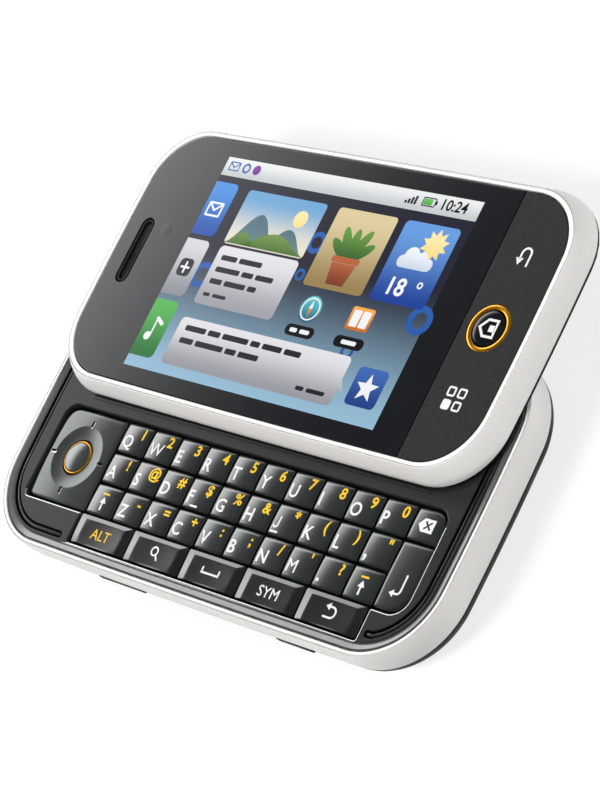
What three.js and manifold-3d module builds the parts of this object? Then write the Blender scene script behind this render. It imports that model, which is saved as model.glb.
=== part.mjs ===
// A side-slider phone, open: a display half that runs along Y over a base with a keyboard.
// Millimetres, +Z up. The origin is the middle of the base's flat underside. +X runs along
// the long side towards the end with the home button, and the display half opens along +Y.
import * as THREE from "three";
import { mergeVertices } from "three/addons/utils/BufferGeometryUtils.js";
import Module from "manifold-3d";

const wasm = await Module();
wasm.setup();

// Clearances
const touchGap = 0.3; // round pieces that move, and between stacked inner pieces
const seam = 0.25; // visible line between two fixed covers
const overrun = 1; // how far a cutter runs past what it cuts

// Keyboard lattice
const rowPitch = 6.23;
const keyGap = 0.5; // black line between two keys
const keyHeight = 1.3;
const keyBevelRun = 0.4;
const keyBevelDrop = 0.35;
const keyCorner = 0.35;
const blockCorner = 2.8; // far corners of the whole block
const enterCorner = 3.6;
const padSide = 16.3; // four-way pad, along X
const padGap = 0.75; // pad to the first column's line
const padDrop = 0.05; // pad below the key tops

// Near row of wide keys
const wideKeySpan = 2; // columns under one wide key
const wideRowDepth = 5.85;
const wideKeyRise = 0.1; // above the letter keys
const wideBevelRun = 1.7; // left and right
const wideBevelFar = 0.75;
const wideBevelNear = 0.2;
const wideBevelDrop = 0.55;

// Dish of the four-way pad and its middle button
const dishRadius = 6.5;
const dishStep = 0.12; // drop at the dish's edge
const dishDepth = 0.42; // drop at the middle hole
const okRadius = 2.85;
const okSkirt = 3.35;
const okSkirtDrop = 0.4;

// Base, measured over the bulge of its rim band
const baseLength = 114.6;
const baseWidth = 58.8;
const leftMargin = 8.15; // band to the pad
const rightMargin = 7.01; // band to the last column's line
const nearMargin = 3.45; // band to the wide keys
const baseCorner = 15.5;
const baseEndBow = 0.8; // how far the short ends bow out
const baseSideBow = 0.3;
const bandLip = 0.45; // flat top of the band
const bandInset = 0.55; // lip's outer edge, in from the bulge
const bandFoot = 0.3; // band's foot, in from the bulge
const bandWall = 1.9; // inner wall, in from the bulge
const bandRise = 0.05; // lip above the deck
const deckThickness = 1.2;
const deckRise = 0.05; // deck above the key tops
const grooveWidth = 1.3;
const grooveInset = 1.85; // deck edge to the groove
const grooveDepth = 0.7;
const grooveLeftEnd = 1.95; // wide keys' opening to the left groove's end
const grooveRightEnd = 1.25;
const grooveUnder = 14; // groove's run under the open display half

// Bottom shell
const shellHeight = 4.5;
const shellDrawIn = 5.8; // top edge to the flat underside
const shellFloor = 1.6;
const shellInnerDrop = 0.7; // upright part of the inner wall
const shellInnerRun = 2.5; // slope from there to the floor
const speakerSlots = 3;
const speakerSlotLength = 9;
const speakerSlotWidth = 1;
const speakerSlotPitch = 2.6;
const speakerInset = 13.3; // left end to the middle slot
const speakerNear = 8; // from the middle towards the near side

// Battery and its door
const doorEndInset = 18.3; // base's end to the door, before its offset
const doorSideInset = 9.4;
const doorCorner = 6;
const doorThickness = 1;
const doorOffset = 6; // towards the right end
const doorLedge = 3.5;
const batteryThickness = 4.4;

// Circuit board
const boardThickness = 0.8;
const canLength = 28;
const canSpacing = 10;

// Rubber mat
const matThickness = 1.3;
const matBorder = 0.8;
const domeRadius = 1.2;
const domeHeight = 0.65;

// Rear camera
const cameraInset = 13.3; // left end to its middle
const cameraFar = 11; // from the middle towards the far side
const cameraWidth = 8.8;
const cameraLength = 15; // lens and lamp window share one bezel
const cameraRecess = 0.2;
const lensRadius = 2.6;
const lensRecess = 0.5;

// Side keys and socket
const sideKeyHeight = 1.5;
const sideKeyDepth = 1.9;
const sideKeyCorner = 0.8;
const sideKeyInset = 0.25; // outer face, in from the bulge
const rockerLength = 12.6;
const rockerInset = 29.7; // from the left end
const rockerEnd = 3; // raised end of the rocker
const rockerDip = 0.4; // waist between its ends
const cameraKeyLength = 9;
const cameraKeyInset = 28.2; // from the right end
const lockKeyLength = 8;
const lockKeyInset = 17.3; // from the left end
const socketLength = 7.6;
const socketHeight = 2.3;
const socketDepth = 5.5;
const socketWall = 0.35;
const socketBack = 0.8;
const socketInset = 15.2; // from the left end
const socketSetback = 2; // mouth, in from the bulge

// Slide
const slideGap = 0.3; // deck to the display half
const uncovered = 2.8; // key block to the open display half
const railPlateThickness = 0.7;
const railPlateInset = 11.3; // display half's end to the plate
const railPlateBorder = 1.5;
const railSpacing = 60;
const railStem = 1.6;
const railFlange = 5;
const railFlangeThickness = 0.5;
const railNearInset = 3.6; // open display half's near edge to the rail
const railFarInset = 3.7; // closed display half's far edge to the rail

// Display half
const displaySetback = 2; // base's end to the display half's end
const displaySideSetback = 1.7;
const displayCorner = 12.4;
const faceCorner = 11;
const displayEndBow = 0.6;
const displaySideBow = 0.25;
const rimRunEnd = 2.85; // rim's foot to the face, at the ends
const rimRunSide = 2.4;
const rimHeight = 4.35;
const rimWall = 2.2;
const lipRise = 0.15; // rim's lip above the face
const glassThickness = 0.85;
const shelfInset = 1.9; // edge of the face to the shelf's inner edge
const shelfThickness = 1.2;
const plateThickness = 1.6;
const plateSkin = 0.55;
const plateSetback = 0.05; // rim's foot to the plate's skin
const chinLength = 14.2;
const screenLeftMargin = 17.55; // face's left end to the picture
const screenRightMargin = 7.65; // picture to the end panel
const screenSideMargin = 3.45; // picture to the face's long sides
const screenBorderEnd = 1.5; // module round its picture
const screenBorderSide = 1.1;
const screenThickness = 1.7;

// Home button and its ring
const homeInset = 8.1; // face's right end to the button
const homeRingRadius = 4.4;
const homeRingWidth = 0.88;
const homeRingRise = 0.1;
const homeRingSeat = 0.45; // panel left under the ring
const homeFlange = 0.45;
const homeFlangeHeight = 0.5;
const homeRise = 0.05;

// Earpiece
const earpieceInset = 5.4; // face's left end to the slot
const earpieceLength = 13.2;
const earpieceWidth = 2.8;
const earpieceWall = 0.45;
const earpieceRecess = 0.4;
const earpieceDepth = 1.2;
const earpieceDrop = 0.075; // below the face

// Facets
const endSteps = 2;
const cornerSteps = 8;
const sideSteps = 2;
const keyCornerSteps = 1;
const roundCornerSteps = 5;
const circleSteps = 32;
const domeSteps = 6;
const samePoint = 1e-4; // points nearer than this are one

// Band's outer profile, foot to lip: share of its height, then share of the inset
const bandFootShares = [
  [0, 1],
  [0.2, 0.35],
];
const bandLipShares = [
  [0.5, 0],
  [0.72, 0.15],
  [0.92, 0.55],
  [1, 1],
];
// Shell's outer profile, underside to top: share of its height, then share of its draw-in
const shellShares = [
  [0, 1],
  [0.04, 0.8],
  [0.18, 0.57],
  [0.45, 0.31],
  [0.78, 0.07],
  [1, 0],
];
// Rim's outer profile, foot to lip: share of its height, then share of its run to the face
const rimShares = [
  [0, 0],
  [0.1, 0],
  [0.44, 0.06],
  [0.74, 0.28],
  [0.93, 0.62],
  [1, 0.76],
];
const rimLipShare = 0.9; // lip's inner edge, on the same run

// Heights, stacked from the underside
const batteryTop = doorThickness + batteryThickness;
const boardBottom = batteryTop + touchGap;
const boardTop = boardBottom + boardThickness;
const matBottom = boardTop + touchGap;
const matTop = matBottom + matThickness;
const domeTop = matTop + domeHeight;
const keyBottom = domeTop + touchGap;
const keyTop = keyBottom + keyHeight;
const padTop = keyTop - padDrop;
const deckTop = keyTop + deckRise;
const deckBottom = deckTop - deckThickness;
const railPlateBottom = deckBottom - railPlateThickness;
const bandTop = deckTop + bandRise;
const displayBottom = deckTop + slideGap;
const rimBottom = displayBottom + plateSkin;
const railTop = rimBottom + touchGap + railFlangeThickness;
const plateTop = displayBottom + plateThickness;
const lipTop = rimBottom + rimHeight;
const faceTop = lipTop - lipRise;
const glassBottom = faceTop - glassThickness;
const screenTop = glassBottom - touchGap;
const sideKeyTop = shellHeight - touchGap;
const sideKeyBottom = sideKeyTop - sideKeyHeight;
const socketBottom = sideKeyTop - socketHeight;

// Names of the keys, from the far left
const keyRows = [
  ["q", "w", "e", "r", "t", "y", "u", "i", "o", "p", "backspace"],
  ["a", "s", "d", "f", "g", "h", "j", "k", "l", "comma"],
  ["shift_left", "z", "x", "c", "v", "b", "n", "m", "period", "shift_right"],
];
const wideKeys = ["alt", "search", "space", "symbol", "back"];

// Plan positions
const keyColumns = keyRows[0].length;
const baseLeft = -baseLength / 2;
const baseRight = baseLength / 2;
const baseNear = -baseWidth / 2;
const baseFar = baseWidth / 2;
const displayWidth = baseWidth - 2 * displaySideSetback;
const blockLeft = baseLeft + leftMargin;
const keysLeft = blockLeft + padSide + padGap;
const keysRight = baseRight - rightMargin;
const keyPitch = (keysRight - keysLeft) / keyColumns;
const wideRight = keysLeft + wideKeys.length * wideKeySpan * keyPitch;
const wideNear = baseNear + nearMargin;
const keysNear = wideNear + wideRowDepth;
const keysFar = keysNear + keyRows.length * rowPitch;
const displayNear = keysFar + uncovered;
const travel = displayNear + displayWidth / 2;
const railNear = displayNear + railNearInset;
const railFar = displayWidth / 2 - railFarInset;
const rockerX = baseLeft + rockerInset + rockerLength / 2;
const lockKeyX = baseLeft + lockKeyInset + lockKeyLength / 2;
const cameraKeyX = baseRight - cameraKeyInset - cameraKeyLength / 2;
const socketX = baseLeft + socketInset + socketLength / 2;
const cameraX = baseLeft + cameraInset;

const padCell = {
  left: blockLeft,
  right: blockLeft + padSide,
  near: keysNear + keyGap / 2,
  far: keysFar - keyGap / 2,
  corners: [keyCorner, keyCorner, keyCorner, blockCorner],
};
const padX = (padCell.left + padCell.right) / 2;
const padY = (padCell.near + padCell.far) / 2;

// Outlines: rounded rectangles whose ends and sides bow out
const baseOutline = {
  length: baseLength,
  width: baseWidth,
  corner: baseCorner,
  endBow: baseEndBow,
  sideBow: baseSideBow,
};
const rimOutline = {
  length: baseLength - 2 * displaySetback,
  width: displayWidth,
  corner: displayCorner,
  endBow: displayEndBow,
  sideBow: displaySideBow,
};
const faceOutline = {
  length: rimOutline.length - 2 * rimRunEnd,
  width: rimOutline.width - 2 * rimRunSide,
  corner: faceCorner,
  endBow: displayEndBow,
  sideBow: displaySideBow,
};
const deckOutline = inset(baseOutline, bandInset + bandLip + touchGap);
const chinLeft = faceOutline.length / 2 - chinLength;
const screenLeft = -faceOutline.length / 2 + screenLeftMargin;
const screenRight = chinLeft - screenRightMargin;
const screenHalfWidth = faceOutline.width / 2 - screenSideMargin;
const homeX = faceOutline.length / 2 - homeInset;
const homeHole = homeRingRadius - homeRingWidth;
const earpieceX = -faceOutline.length / 2 + earpieceInset;

const pearl = { color: 0xd8d5cf, roughness: 0.32, metalness: 0.55 };
const glossBlack = { color: 0x0b0c0e, roughness: 0.06, metalness: 0 };
const charcoal = { color: 0x26272a, roughness: 0.5, metalness: 0 };
const deckGrey = { color: 0x37383b, roughness: 0.35, metalness: 0.1 };
const keyBlack = { color: 0x2b2f30, roughness: 0.18, metalness: 0.1 };
const padGrey = { color: 0x6f7574, roughness: 0.25, metalness: 0.5 };
const gold = { color: 0xd9971e, roughness: 0.25, metalness: 0.9 };
const rubber = { color: 0x0d0d0d, roughness: 0.8, metalness: 0 };
const shellBlack = { color: 0x141415, roughness: 0.55, metalness: 0 };
const steel = { color: 0x9a9c9e, roughness: 0.35, metalness: 1 };
const boardGreen = { color: 0x1d4a32, roughness: 0.5, metalness: 0.1 };
const batteryGrey = { color: 0x3a3b3d, roughness: 0.5, metalness: 0.1 };
const screenBlue = { color: 0x2a5a9c, roughness: 0.2, metalness: 0 };

// The same outline drawn in by a distance all round.
function inset(outline, distance) {
  return {
    ...outline,
    length: outline.length - 2 * distance,
    width: outline.width - 2 * distance,
    corner: outline.corner - distance,
  };
}

// The outline at a share of the way from one to another.
function between(from, to, share) {
  return {
    ...from,
    length: THREE.MathUtils.lerp(from.length, to.length, share),
    width: THREE.MathUtils.lerp(from.width, to.width, share),
    corner: THREE.MathUtils.lerp(from.corner, to.corner, share),
  };
}

// Radius of the shallow arc that rises by a bow over half its chord.
function bowRadius(halfChord, bow) {
  return (halfChord ** 2 + bow ** 2) / (2 * bow);
}

function arcPoints(centre, radius, from, to, steps) {
  return Array.from({ length: steps + 1 }, (_, i) => {
    const angle = THREE.MathUtils.lerp(from, to, i / steps);
    return new THREE.Vector2(Math.cos(angle), Math.sin(angle)).multiplyScalar(radius).add(centre);
  });
}

// One quarter of a bowed outline, from +X to +Y. The corner's arc touches the end's arc and
// the side's arc from inside, so its centre is where two smaller circles cross.
function quarterPoints({ length, width, corner, endBow, sideBow }) {
  const endRadius = bowRadius(width / 2, endBow);
  const sideRadius = bowRadius(length / 2, sideBow);
  const endCentre = new THREE.Vector2(length / 2 - endRadius, 0);
  const sideCentre = new THREE.Vector2(0, width / 2 - sideRadius);
  const fromSide = sideRadius - corner;
  const fromEnd = endRadius - corner;
  const apart = endCentre.distanceTo(sideCentre);
  const along = (fromSide ** 2 - fromEnd ** 2 + apart ** 2) / (2 * apart);
  const across = Math.sqrt(fromSide ** 2 - along ** 2);
  const direction = endCentre.clone().sub(sideCentre).normalize();
  const cornerCentre = sideCentre.clone().addScaledVector(direction, along);
  cornerCentre.addScaledVector(new THREE.Vector2(direction.y, -direction.x), across);
  const endAngle = cornerCentre.clone().sub(endCentre).angle();
  const sideAngle = cornerCentre.clone().sub(sideCentre).angle();
  return [
    ...arcPoints(endCentre, endRadius, 0, endAngle, endSteps),
    ...arcPoints(cornerCentre, corner, endAngle, sideAngle, cornerSteps).slice(1),
    ...arcPoints(sideCentre, sideRadius, sideAngle, Math.PI / 2, sideSteps).slice(1),
  ];
}

// The whole bowed outline, counter-clockwise from +X.
function outlinePoints(outline) {
  const quarter = quarterPoints(outline);
  const backwards = quarter.slice().reverse();
  const mirrored = (points, x, y) =>
    points.slice(0, -1).map((p) => new THREE.Vector2(p.x * x, p.y * y));
  return [
    ...mirrored(quarter, 1, 1),
    ...mirrored(backwards, -1, 1),
    ...mirrored(quarter, -1, -1),
    ...mirrored(backwards, 1, -1),
  ];
}

// A rectangle with a radius for each corner: near left, near right, far right, far left.
function rectanglePoints({ left, right, near, far, corners }) {
  const turns = [
    { x: left, y: near, inX: 1, inY: 1, start: Math.PI },
    { x: right, y: near, inX: -1, inY: 1, start: -Math.PI / 2 },
    { x: right, y: far, inX: -1, inY: -1, start: 0 },
    { x: left, y: far, inX: 1, inY: -1, start: Math.PI / 2 },
  ];
  const points = turns.flatMap(({ x, y, inX, inY, start }, i) => {
    const radius = corners[i];
    const centre = new THREE.Vector2(x + inX * radius, y + inY * radius);
    const steps = radius > keyCorner ? roundCornerSteps : keyCornerSteps;
    return arcPoints(centre, radius, start, start + Math.PI / 2, steps);
  });
  return points.filter((p, i) => p.distanceTo(points.at(i - 1)) > samePoint);
}

function centred(x, y, length, width, corner) {
  return {
    left: x - length / 2,
    right: x + length / 2,
    near: y - width / 2,
    far: y + width / 2,
    corners: [corner, corner, corner, corner],
  };
}

// A closed geometry as a solid, without the triangles that merging its points folds up.
function solid(geometry) {
  const bare = new THREE.BufferGeometry();
  bare.setAttribute("position", geometry.getAttribute("position"));
  bare.setIndex(geometry.index);
  const merged = mergeVertices(bare, samePoint);
  const triangles = [];
  for (let i = 0; i < merged.index.count; i += 3) {
    const [a, b, c] = [0, 1, 2].map((corner) => merged.index.getX(i + corner));
    if (a !== b && b !== c && c !== a) triangles.push(a, b, c);
  }
  return new wasm.Manifold(
    new wasm.Mesh({
      numProp: 3,
      vertProperties: merged.attributes.position.array,
      triVerts: new Uint32Array(triangles),
    }),
  );
}

// A solid over a stack of rings { points, z } with equal counts of points. A looped stack is
// a band with a hole through it, and any other stack is capped at both ends.
function skin(rings, looped) {
  const count = rings[0].points.length;
  const positions = rings.flatMap(({ points, z }) => points.flatMap((p) => [p.x, p.y, z]));
  const index = [];
  for (let i = 0; i < rings.length - (looped ? 0 : 1); i++) {
    const low = i * count;
    const high = ((i + 1) % rings.length) * count;
    for (let j = 0; j < count; j++) {
      const next = (j + 1) % count;
      index.push(low + j, low + next, high + next);
      index.push(low + j, high + next, high + j);
    }
  }
  if (!looped) {
    const top = (rings.length - 1) * count;
    for (const [a, b, c] of THREE.ShapeUtils.triangulateShape(rings[0].points, [])) {
      index.push(a, c, b);
    }
    for (const [a, b, c] of THREE.ShapeUtils.triangulateShape(rings.at(-1).points, [])) {
      index.push(top + a, top + b, top + c);
    }
  }
  const geometry = new THREE.BufferGeometry();
  geometry.setAttribute("position", new THREE.Float32BufferAttribute(positions, 3));
  geometry.setIndex(index);
  return solid(geometry);
}

function ring(outline, z) {
  return { points: outlinePoints(outline), z };
}

function prism(points, bottom, top) {
  const ends = [bottom, top].map((z) => ({ points, z }));
  return skin(ends, false);
}

function box(left, right, near, far, bottom, top) {
  const geometry = new THREE.BoxGeometry(right - left, far - near, top - bottom);
  return solid(geometry.translate((left + right) / 2, (near + far) / 2, (bottom + top) / 2));
}

function disc(x, y, radius, bottom, top, steps = circleSteps) {
  const geometry = new THREE.CylinderGeometry(radius, radius, top - bottom, steps);
  return solid(geometry.rotateX(Math.PI / 2).translate(x, y, (bottom + top) / 2));
}

// A solid turned about a vertical axis, from [radius, z] pairs that start and end on the axis.
function turned(x, y, profile) {
  const points = profile.map(([radius, z]) => new THREE.Vector2(radius, z));
  const geometry = new THREE.LatheGeometry(points, circleSteps);
  return solid(geometry.rotateX(Math.PI / 2).translate(x, y, 0));
}

// A slot with round ends that lies along Y.
function stadium(x, y, length, width, bottom, top) {
  return prism(rectanglePoints(centred(x, y, width, length, width / 2)), bottom, top);
}

function joined(solids) {
  return solids.reduce((whole, piece) => whole.add(piece));
}

function cut(body, cutters) {
  return cutters.reduce((left, cutter) => left.subtract(cutter), body);
}

function addPiece(group, name, body, finish) {
  const mesh = body.getMesh();
  const geometry = new THREE.BufferGeometry();
  geometry.setAttribute("position", new THREE.BufferAttribute(mesh.vertProperties, mesh.numProp));
  geometry.setIndex(new THREE.BufferAttribute(mesh.triVerts, 1));
  const faceted = geometry.toNonIndexed();
  faceted.computeVertexNormals();
  const piece = new THREE.Mesh(faceted, new THREE.MeshStandardMaterial(finish));
  piece.name = name;
  group.add(piece);
}

// Rim band of the base: a bulging wall, a flat lip, and a ledge that carries the deck.
function baseFrame() {
  const at = (depth, [rise, share]) =>
    ring(inset(baseOutline, depth * share), THREE.MathUtils.lerp(shellHeight, bandTop, rise));
  const lipInner = inset(baseOutline, bandInset + bandLip);
  const wallInner = inset(baseOutline, bandWall);
  return skin(
    [
      ...bandFootShares.map((shares) => at(bandFoot, shares)),
      ...bandLipShares.map((shares) => at(bandInset, shares)),
      ring(lipInner, bandTop),
      ring(lipInner, deckBottom),
      ring(wallInner, deckBottom),
      ring(wallInner, shellHeight),
    ],
    true,
  );
}

// The opening that the keys and the pad stand in: one block, and a strip for the wide keys.
function keyOpening() {
  const bottom = deckBottom - overrun;
  const top = deckTop + overrun;
  const block = {
    left: blockLeft - touchGap,
    right: keysRight,
    near: keysNear - keyGap / 2,
    far: keysFar + keyGap / 2,
    corners: [keyCorner, enterCorner, blockCorner, blockCorner],
  };
  const strip = {
    left: keysLeft - touchGap,
    right: wideRight + touchGap,
    near: wideNear - keyGap / 2,
    far: keysNear + keyGap,
    corners: [keyCorner, keyCorner, keyCorner, keyCorner],
  };
  return [block, strip].map((cell) => prism(rectanglePoints(cell), bottom, top));
}

// A blind groove along the deck's edge, down one end and round its near corner. What is kept
// of the full loop lies between two X values.
function edgeGroove(left, right) {
  const outer = inset(deckOutline, grooveInset);
  const inner = inset(deckOutline, grooveInset + grooveWidth);
  const floor = deckTop - grooveDepth;
  const top = deckTop + overrun;
  const loop = skin([ring(outer, floor), ring(outer, top), ring(inner, top), ring(inner, floor)], true);
  return loop.intersect(box(left, right, baseNear, displayNear + grooveUnder, floor, top));
}

function keyboardDeck() {
  const grooves = [
    edgeGroove(baseLeft, keysLeft - touchGap - grooveLeftEnd),
    edgeGroove(wideRight + touchGap + grooveRightEnd, baseRight),
  ];
  const half = railFlange / 2 + touchGap;
  const railHoles = [-1, 1].map((side) => {
    const x = (side * railSpacing) / 2;
    return box(
      x - half,
      x + half,
      railNear - touchGap,
      railFar + touchGap,
      deckBottom - overrun,
      deckTop + overrun,
    );
  });
  const plate = prism(outlinePoints(deckOutline), deckBottom, deckTop);
  return cut(plate, [...keyOpening(), ...grooves, ...railHoles]);
}

const keyBevel = {
  left: keyBevelRun,
  right: keyBevelRun,
  near: keyBevelRun,
  far: keyBevelRun,
  drop: keyBevelDrop,
};
const wideBevel = {
  left: wideBevelRun,
  right: wideBevelRun,
  near: wideBevelNear,
  far: wideBevelFar,
  drop: wideBevelDrop,
};

// A key: straight sides, then a bevel up to a smaller flat top.
function keyBody(cell, top, bevel) {
  const face = {
    left: cell.left + bevel.left,
    right: cell.right - bevel.right,
    near: cell.near + bevel.near,
    far: cell.far - bevel.far,
    corners: cell.corners,
  };
  const sides = rectanglePoints(cell);
  return skin(
    [
      { points: sides, z: keyBottom },
      { points: sides, z: top - bevel.drop },
      { points: rectanglePoints(face), z: top },
    ],
    false,
  );
}

// The outline of a key, counted from the far left and less half a gap on each side.
function keyCell(column, row, rowSpan) {
  return {
    left: keysLeft + column * keyPitch + keyGap / 2,
    right: keysLeft + (column + 1) * keyPitch - keyGap / 2,
    near: keysFar - (row + rowSpan) * rowPitch + keyGap / 2,
    far: keysFar - row * rowPitch - keyGap / 2,
    corners: [keyCorner, keyCorner, keyCorner, keyCorner],
  };
}

// Each letter key's name and outline. The last column holds one key in the first row, and a
// tall key over the other rows.
function letterKeys() {
  const keys = keyRows.flatMap((names, row) =>
    names.map((name, column) => ({ name, cell: keyCell(column, row, 1) })),
  );
  const corner = keys.find(({ name }) => name === "backspace");
  corner.cell.corners = [keyCorner, keyCorner, blockCorner, keyCorner];
  const tall = keyCell(keyColumns - 1, 1, keyRows.length - 1);
  tall.corners = [keyCorner, enterCorner, keyCorner, keyCorner];
  return [...keys, { name: "enter", cell: tall }];
}

function wideKeyCells() {
  const pitch = wideKeySpan * keyPitch;
  return wideKeys.map((name, i) => ({
    name,
    cell: {
      left: keysLeft + i * pitch + keyGap / 2,
      right: keysLeft + (i + 1) * pitch - keyGap / 2,
      near: wideNear,
      far: keysNear - keyGap / 2,
      corners: [keyCorner, keyCorner, keyCorner, keyCorner],
    },
  }));
}

// The four-way pad falls in a shallow dish to the round hole of the middle button.
function navPad() {
  const hole = okSkirt + touchGap;
  const dish = turned(padX, padY, [
    [0, keyBottom - overrun],
    [hole, keyBottom - overrun],
    [hole, padTop - dishDepth],
    [dishRadius, padTop - dishStep],
    [dishRadius, padTop + overrun],
    [0, padTop + overrun],
  ]);
  return cut(keyBody(padCell, padTop, keyBevel), [dish]);
}

function okButton() {
  const edge = keyTop - okSkirtDrop;
  return turned(padX, padY, [
    [0, keyBottom],
    [okSkirt, keyBottom],
    [okSkirt, edge],
    [okRadius, edge],
    [okRadius, keyTop - okSkirtDrop / 2],
    [okRadius / 2, keyTop],
    [0, keyTop],
  ]);
}

// One mat under the whole keyboard, with a dome below each key.
function keypadMat() {
  const block = box(
    blockLeft - matBorder,
    keysRight + matBorder,
    keysNear - matBorder,
    keysFar + matBorder,
    matBottom,
    matTop,
  );
  const strip = box(keysLeft - matBorder, wideRight + matBorder, wideNear, keysNear, matBottom, matTop);
  const cells = [...letterKeys(), ...wideKeyCells()].map(({ cell }) => cell);
  const domes = [...cells, padCell].map(({ left, right, near, far }) =>
    disc((left + right) / 2, (near + far) / 2, domeRadius, matBottom, domeTop, domeSteps),
  );
  return joined([block, strip, ...domes]);
}

// Steel plate under the deck, with two T-shaped rails that stand up through it.
function slideRailPlate() {
  const halfLength = rimOutline.length / 2 - railPlateInset;
  const plate = box(
    -halfLength,
    halfLength,
    railNear - railPlateBorder,
    railFar + railPlateBorder,
    railPlateBottom,
    deckBottom,
  );
  const rails = [-1, 1].flatMap((side) => {
    const x = (side * railSpacing) / 2;
    const stem = [x - railStem / 2, x + railStem / 2];
    const flange = [x - railFlange / 2, x + railFlange / 2];
    return [
      box(...stem, railNear, railFar, railPlateBottom, railTop),
      box(...flange, railNear, railFar, railTop - railFlangeThickness, railTop),
    ];
  });
  return joined([plate, ...rails]);
}

function mainBoard() {
  const outline = inset(baseOutline, bandWall + touchGap);
  const plate = prism(outlinePoints(outline), boardBottom, boardTop);
  const cans = [-1, 1].map((side) => {
    const middle = (side * (canSpacing + canLength)) / 2;
    return box(
      middle - canLength / 2,
      middle + canLength / 2,
      railNear,
      railFar,
      boardBottom,
      railPlateBottom - touchGap,
    );
  });
  return joined([plate, ...cans]);
}

// A rounded slab as large as the battery door, drawn in by a distance all round.
function doorSlab(distance, corner, bottom, top) {
  const length = baseLength - 2 * (doorEndInset + distance);
  const width = baseWidth - 2 * (doorSideInset + distance);
  return prism(rectanglePoints(centred(doorOffset, 0, length, width, corner)), bottom, top);
}

function cameraSlab(grow, bottom, top) {
  return stadium(cameraX, cameraFar, cameraLength + 2 * grow, cameraWidth + 2 * grow, bottom, top);
}

// The window in the shell's side for a side key or the socket, open at the rim band's foot.
function sideWindow(centreX, length, side, bottom) {
  const outside = side * (baseFar + overrun);
  const inside = side * (baseFar - bandWall - shellInnerRun - overrun);
  return box(
    centreX - length / 2 - touchGap,
    centreX + length / 2 + touchGap,
    Math.min(outside, inside),
    Math.max(outside, inside),
    bottom - touchGap,
    shellHeight + overrun,
  );
}

// Bottom shell: a curved tray with openings for the battery, camera, speaker and side keys.
function backHousing() {
  const tray = skin(
    [
      ...shellShares.map(([rise, share]) =>
        ring(inset(baseOutline, bandFoot + shellDrawIn * share), shellHeight * rise),
      ),
      ring(inset(baseOutline, bandWall), shellHeight),
      ring(inset(baseOutline, bandWall), shellHeight - shellInnerDrop),
      ring(inset(baseOutline, bandWall + shellInnerRun), shellFloor),
    ],
    false,
  );
  const above = shellFloor + overrun;
  const slots = Array.from({ length: speakerSlots }, (_, i) => {
    const x = baseLeft + speakerInset + (i - (speakerSlots - 1) / 2) * speakerSlotPitch;
    return stadium(x, -speakerNear, speakerSlotLength, speakerSlotWidth, -overrun, above);
  });
  return cut(tray, [
    doorSlab(-seam, doorCorner + seam, -overrun, doorThickness),
    doorSlab(doorLedge, doorCorner - seam, -overrun, above),
    cameraSlab(seam, -overrun, above),
    sideWindow(rockerX, rockerLength, -1, sideKeyBottom),
    sideWindow(cameraKeyX, cameraKeyLength, -1, sideKeyBottom),
    sideWindow(lockKeyX, lockKeyLength, 1, sideKeyBottom),
    sideWindow(socketX, socketLength, -1, socketBottom),
    ...slots,
  ]);
}

// Camera block behind its bezel, with the lens sunk into its outer face.
function cameraModule() {
  const block = cameraSlab(0, cameraRecess, boardBottom - touchGap);
  const lensY = cameraFar + cameraLength / 2 - cameraWidth / 2;
  return cut(block, [disc(cameraX, lensY, lensRadius, -overrun, cameraRecess + lensRecess)]);
}

// A side key: a flat bar whose outer corners are round seen from above.
function sideKey(centreX, length, side) {
  const face = side * (baseFar - sideKeyInset);
  const back = face - side * sideKeyDepth;
  const cell = {
    left: centreX - length / 2,
    right: centreX + length / 2,
    near: Math.min(face, back),
    far: Math.max(face, back),
    corners: side < 0 ? [sideKeyCorner, sideKeyCorner, 0, 0] : [0, 0, sideKeyCorner, sideKeyCorner],
  };
  return prism(rectanglePoints(cell), sideKeyBottom, sideKeyTop);
}

// Volume key: a side key with a shallow waist between its raised ends.
function volumeRocker() {
  const left = rockerX - rockerLength / 2 + rockerEnd;
  const right = rockerX + rockerLength / 2 - rockerEnd;
  const face = baseNear + sideKeyInset;
  const waist = [
    new THREE.Vector2(left - overrun, face - overrun),
    new THREE.Vector2(right + overrun, face - overrun),
    new THREE.Vector2(right - rockerDip, face + rockerDip),
    new THREE.Vector2(left + rockerDip, face + rockerDip),
  ];
  const key = sideKey(rockerX, rockerLength, -1);
  return cut(key, [prism(waist, sideKeyBottom - overrun, sideKeyTop + overrun)]);
}

function usbSocket() {
  const near = baseNear + socketSetback;
  const left = socketX - socketLength / 2;
  const right = socketX + socketLength / 2;
  const shell = box(left, right, near, near + socketDepth, socketBottom, sideKeyTop);
  const mouth = box(
    left + socketWall,
    right - socketWall,
    near - overrun,
    near + socketDepth - socketBack,
    socketBottom + socketWall,
    sideKeyTop - socketWall,
  );
  return cut(shell, [mouth]);
}

// Rim of the display half: a sloping wall, a narrow lip, and a shelf under the face.
function displayFrame() {
  const lipInner = inset(faceOutline, -seam);
  const shelfInner = inset(faceOutline, shelfInset);
  const wallInner = inset(rimOutline, rimWall);
  const shelfBottom = glassBottom - shelfThickness;
  return skin(
    [
      ...rimShares.map(([rise, share]) =>
        ring(between(rimOutline, faceOutline, share), rimBottom + rimHeight * rise),
      ),
      ring(between(rimOutline, faceOutline, rimLipShare), lipTop),
      ring(lipInner, faceTop),
      ring(lipInner, glassBottom),
      ring(shelfInner, glassBottom),
      ring(shelfInner, shelfBottom),
      ring(wallInner, shelfBottom),
      ring(wallInner, rimBottom),
    ],
    true,
  );
}

// The part of the face between two X values.
function facePart(left, right) {
  const whole = prism(outlinePoints(faceOutline), glassBottom, faceTop);
  const halfWidth = faceOutline.width;
  return whole.intersect(box(left, right, -halfWidth, halfWidth, glassBottom, faceTop));
}

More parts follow.
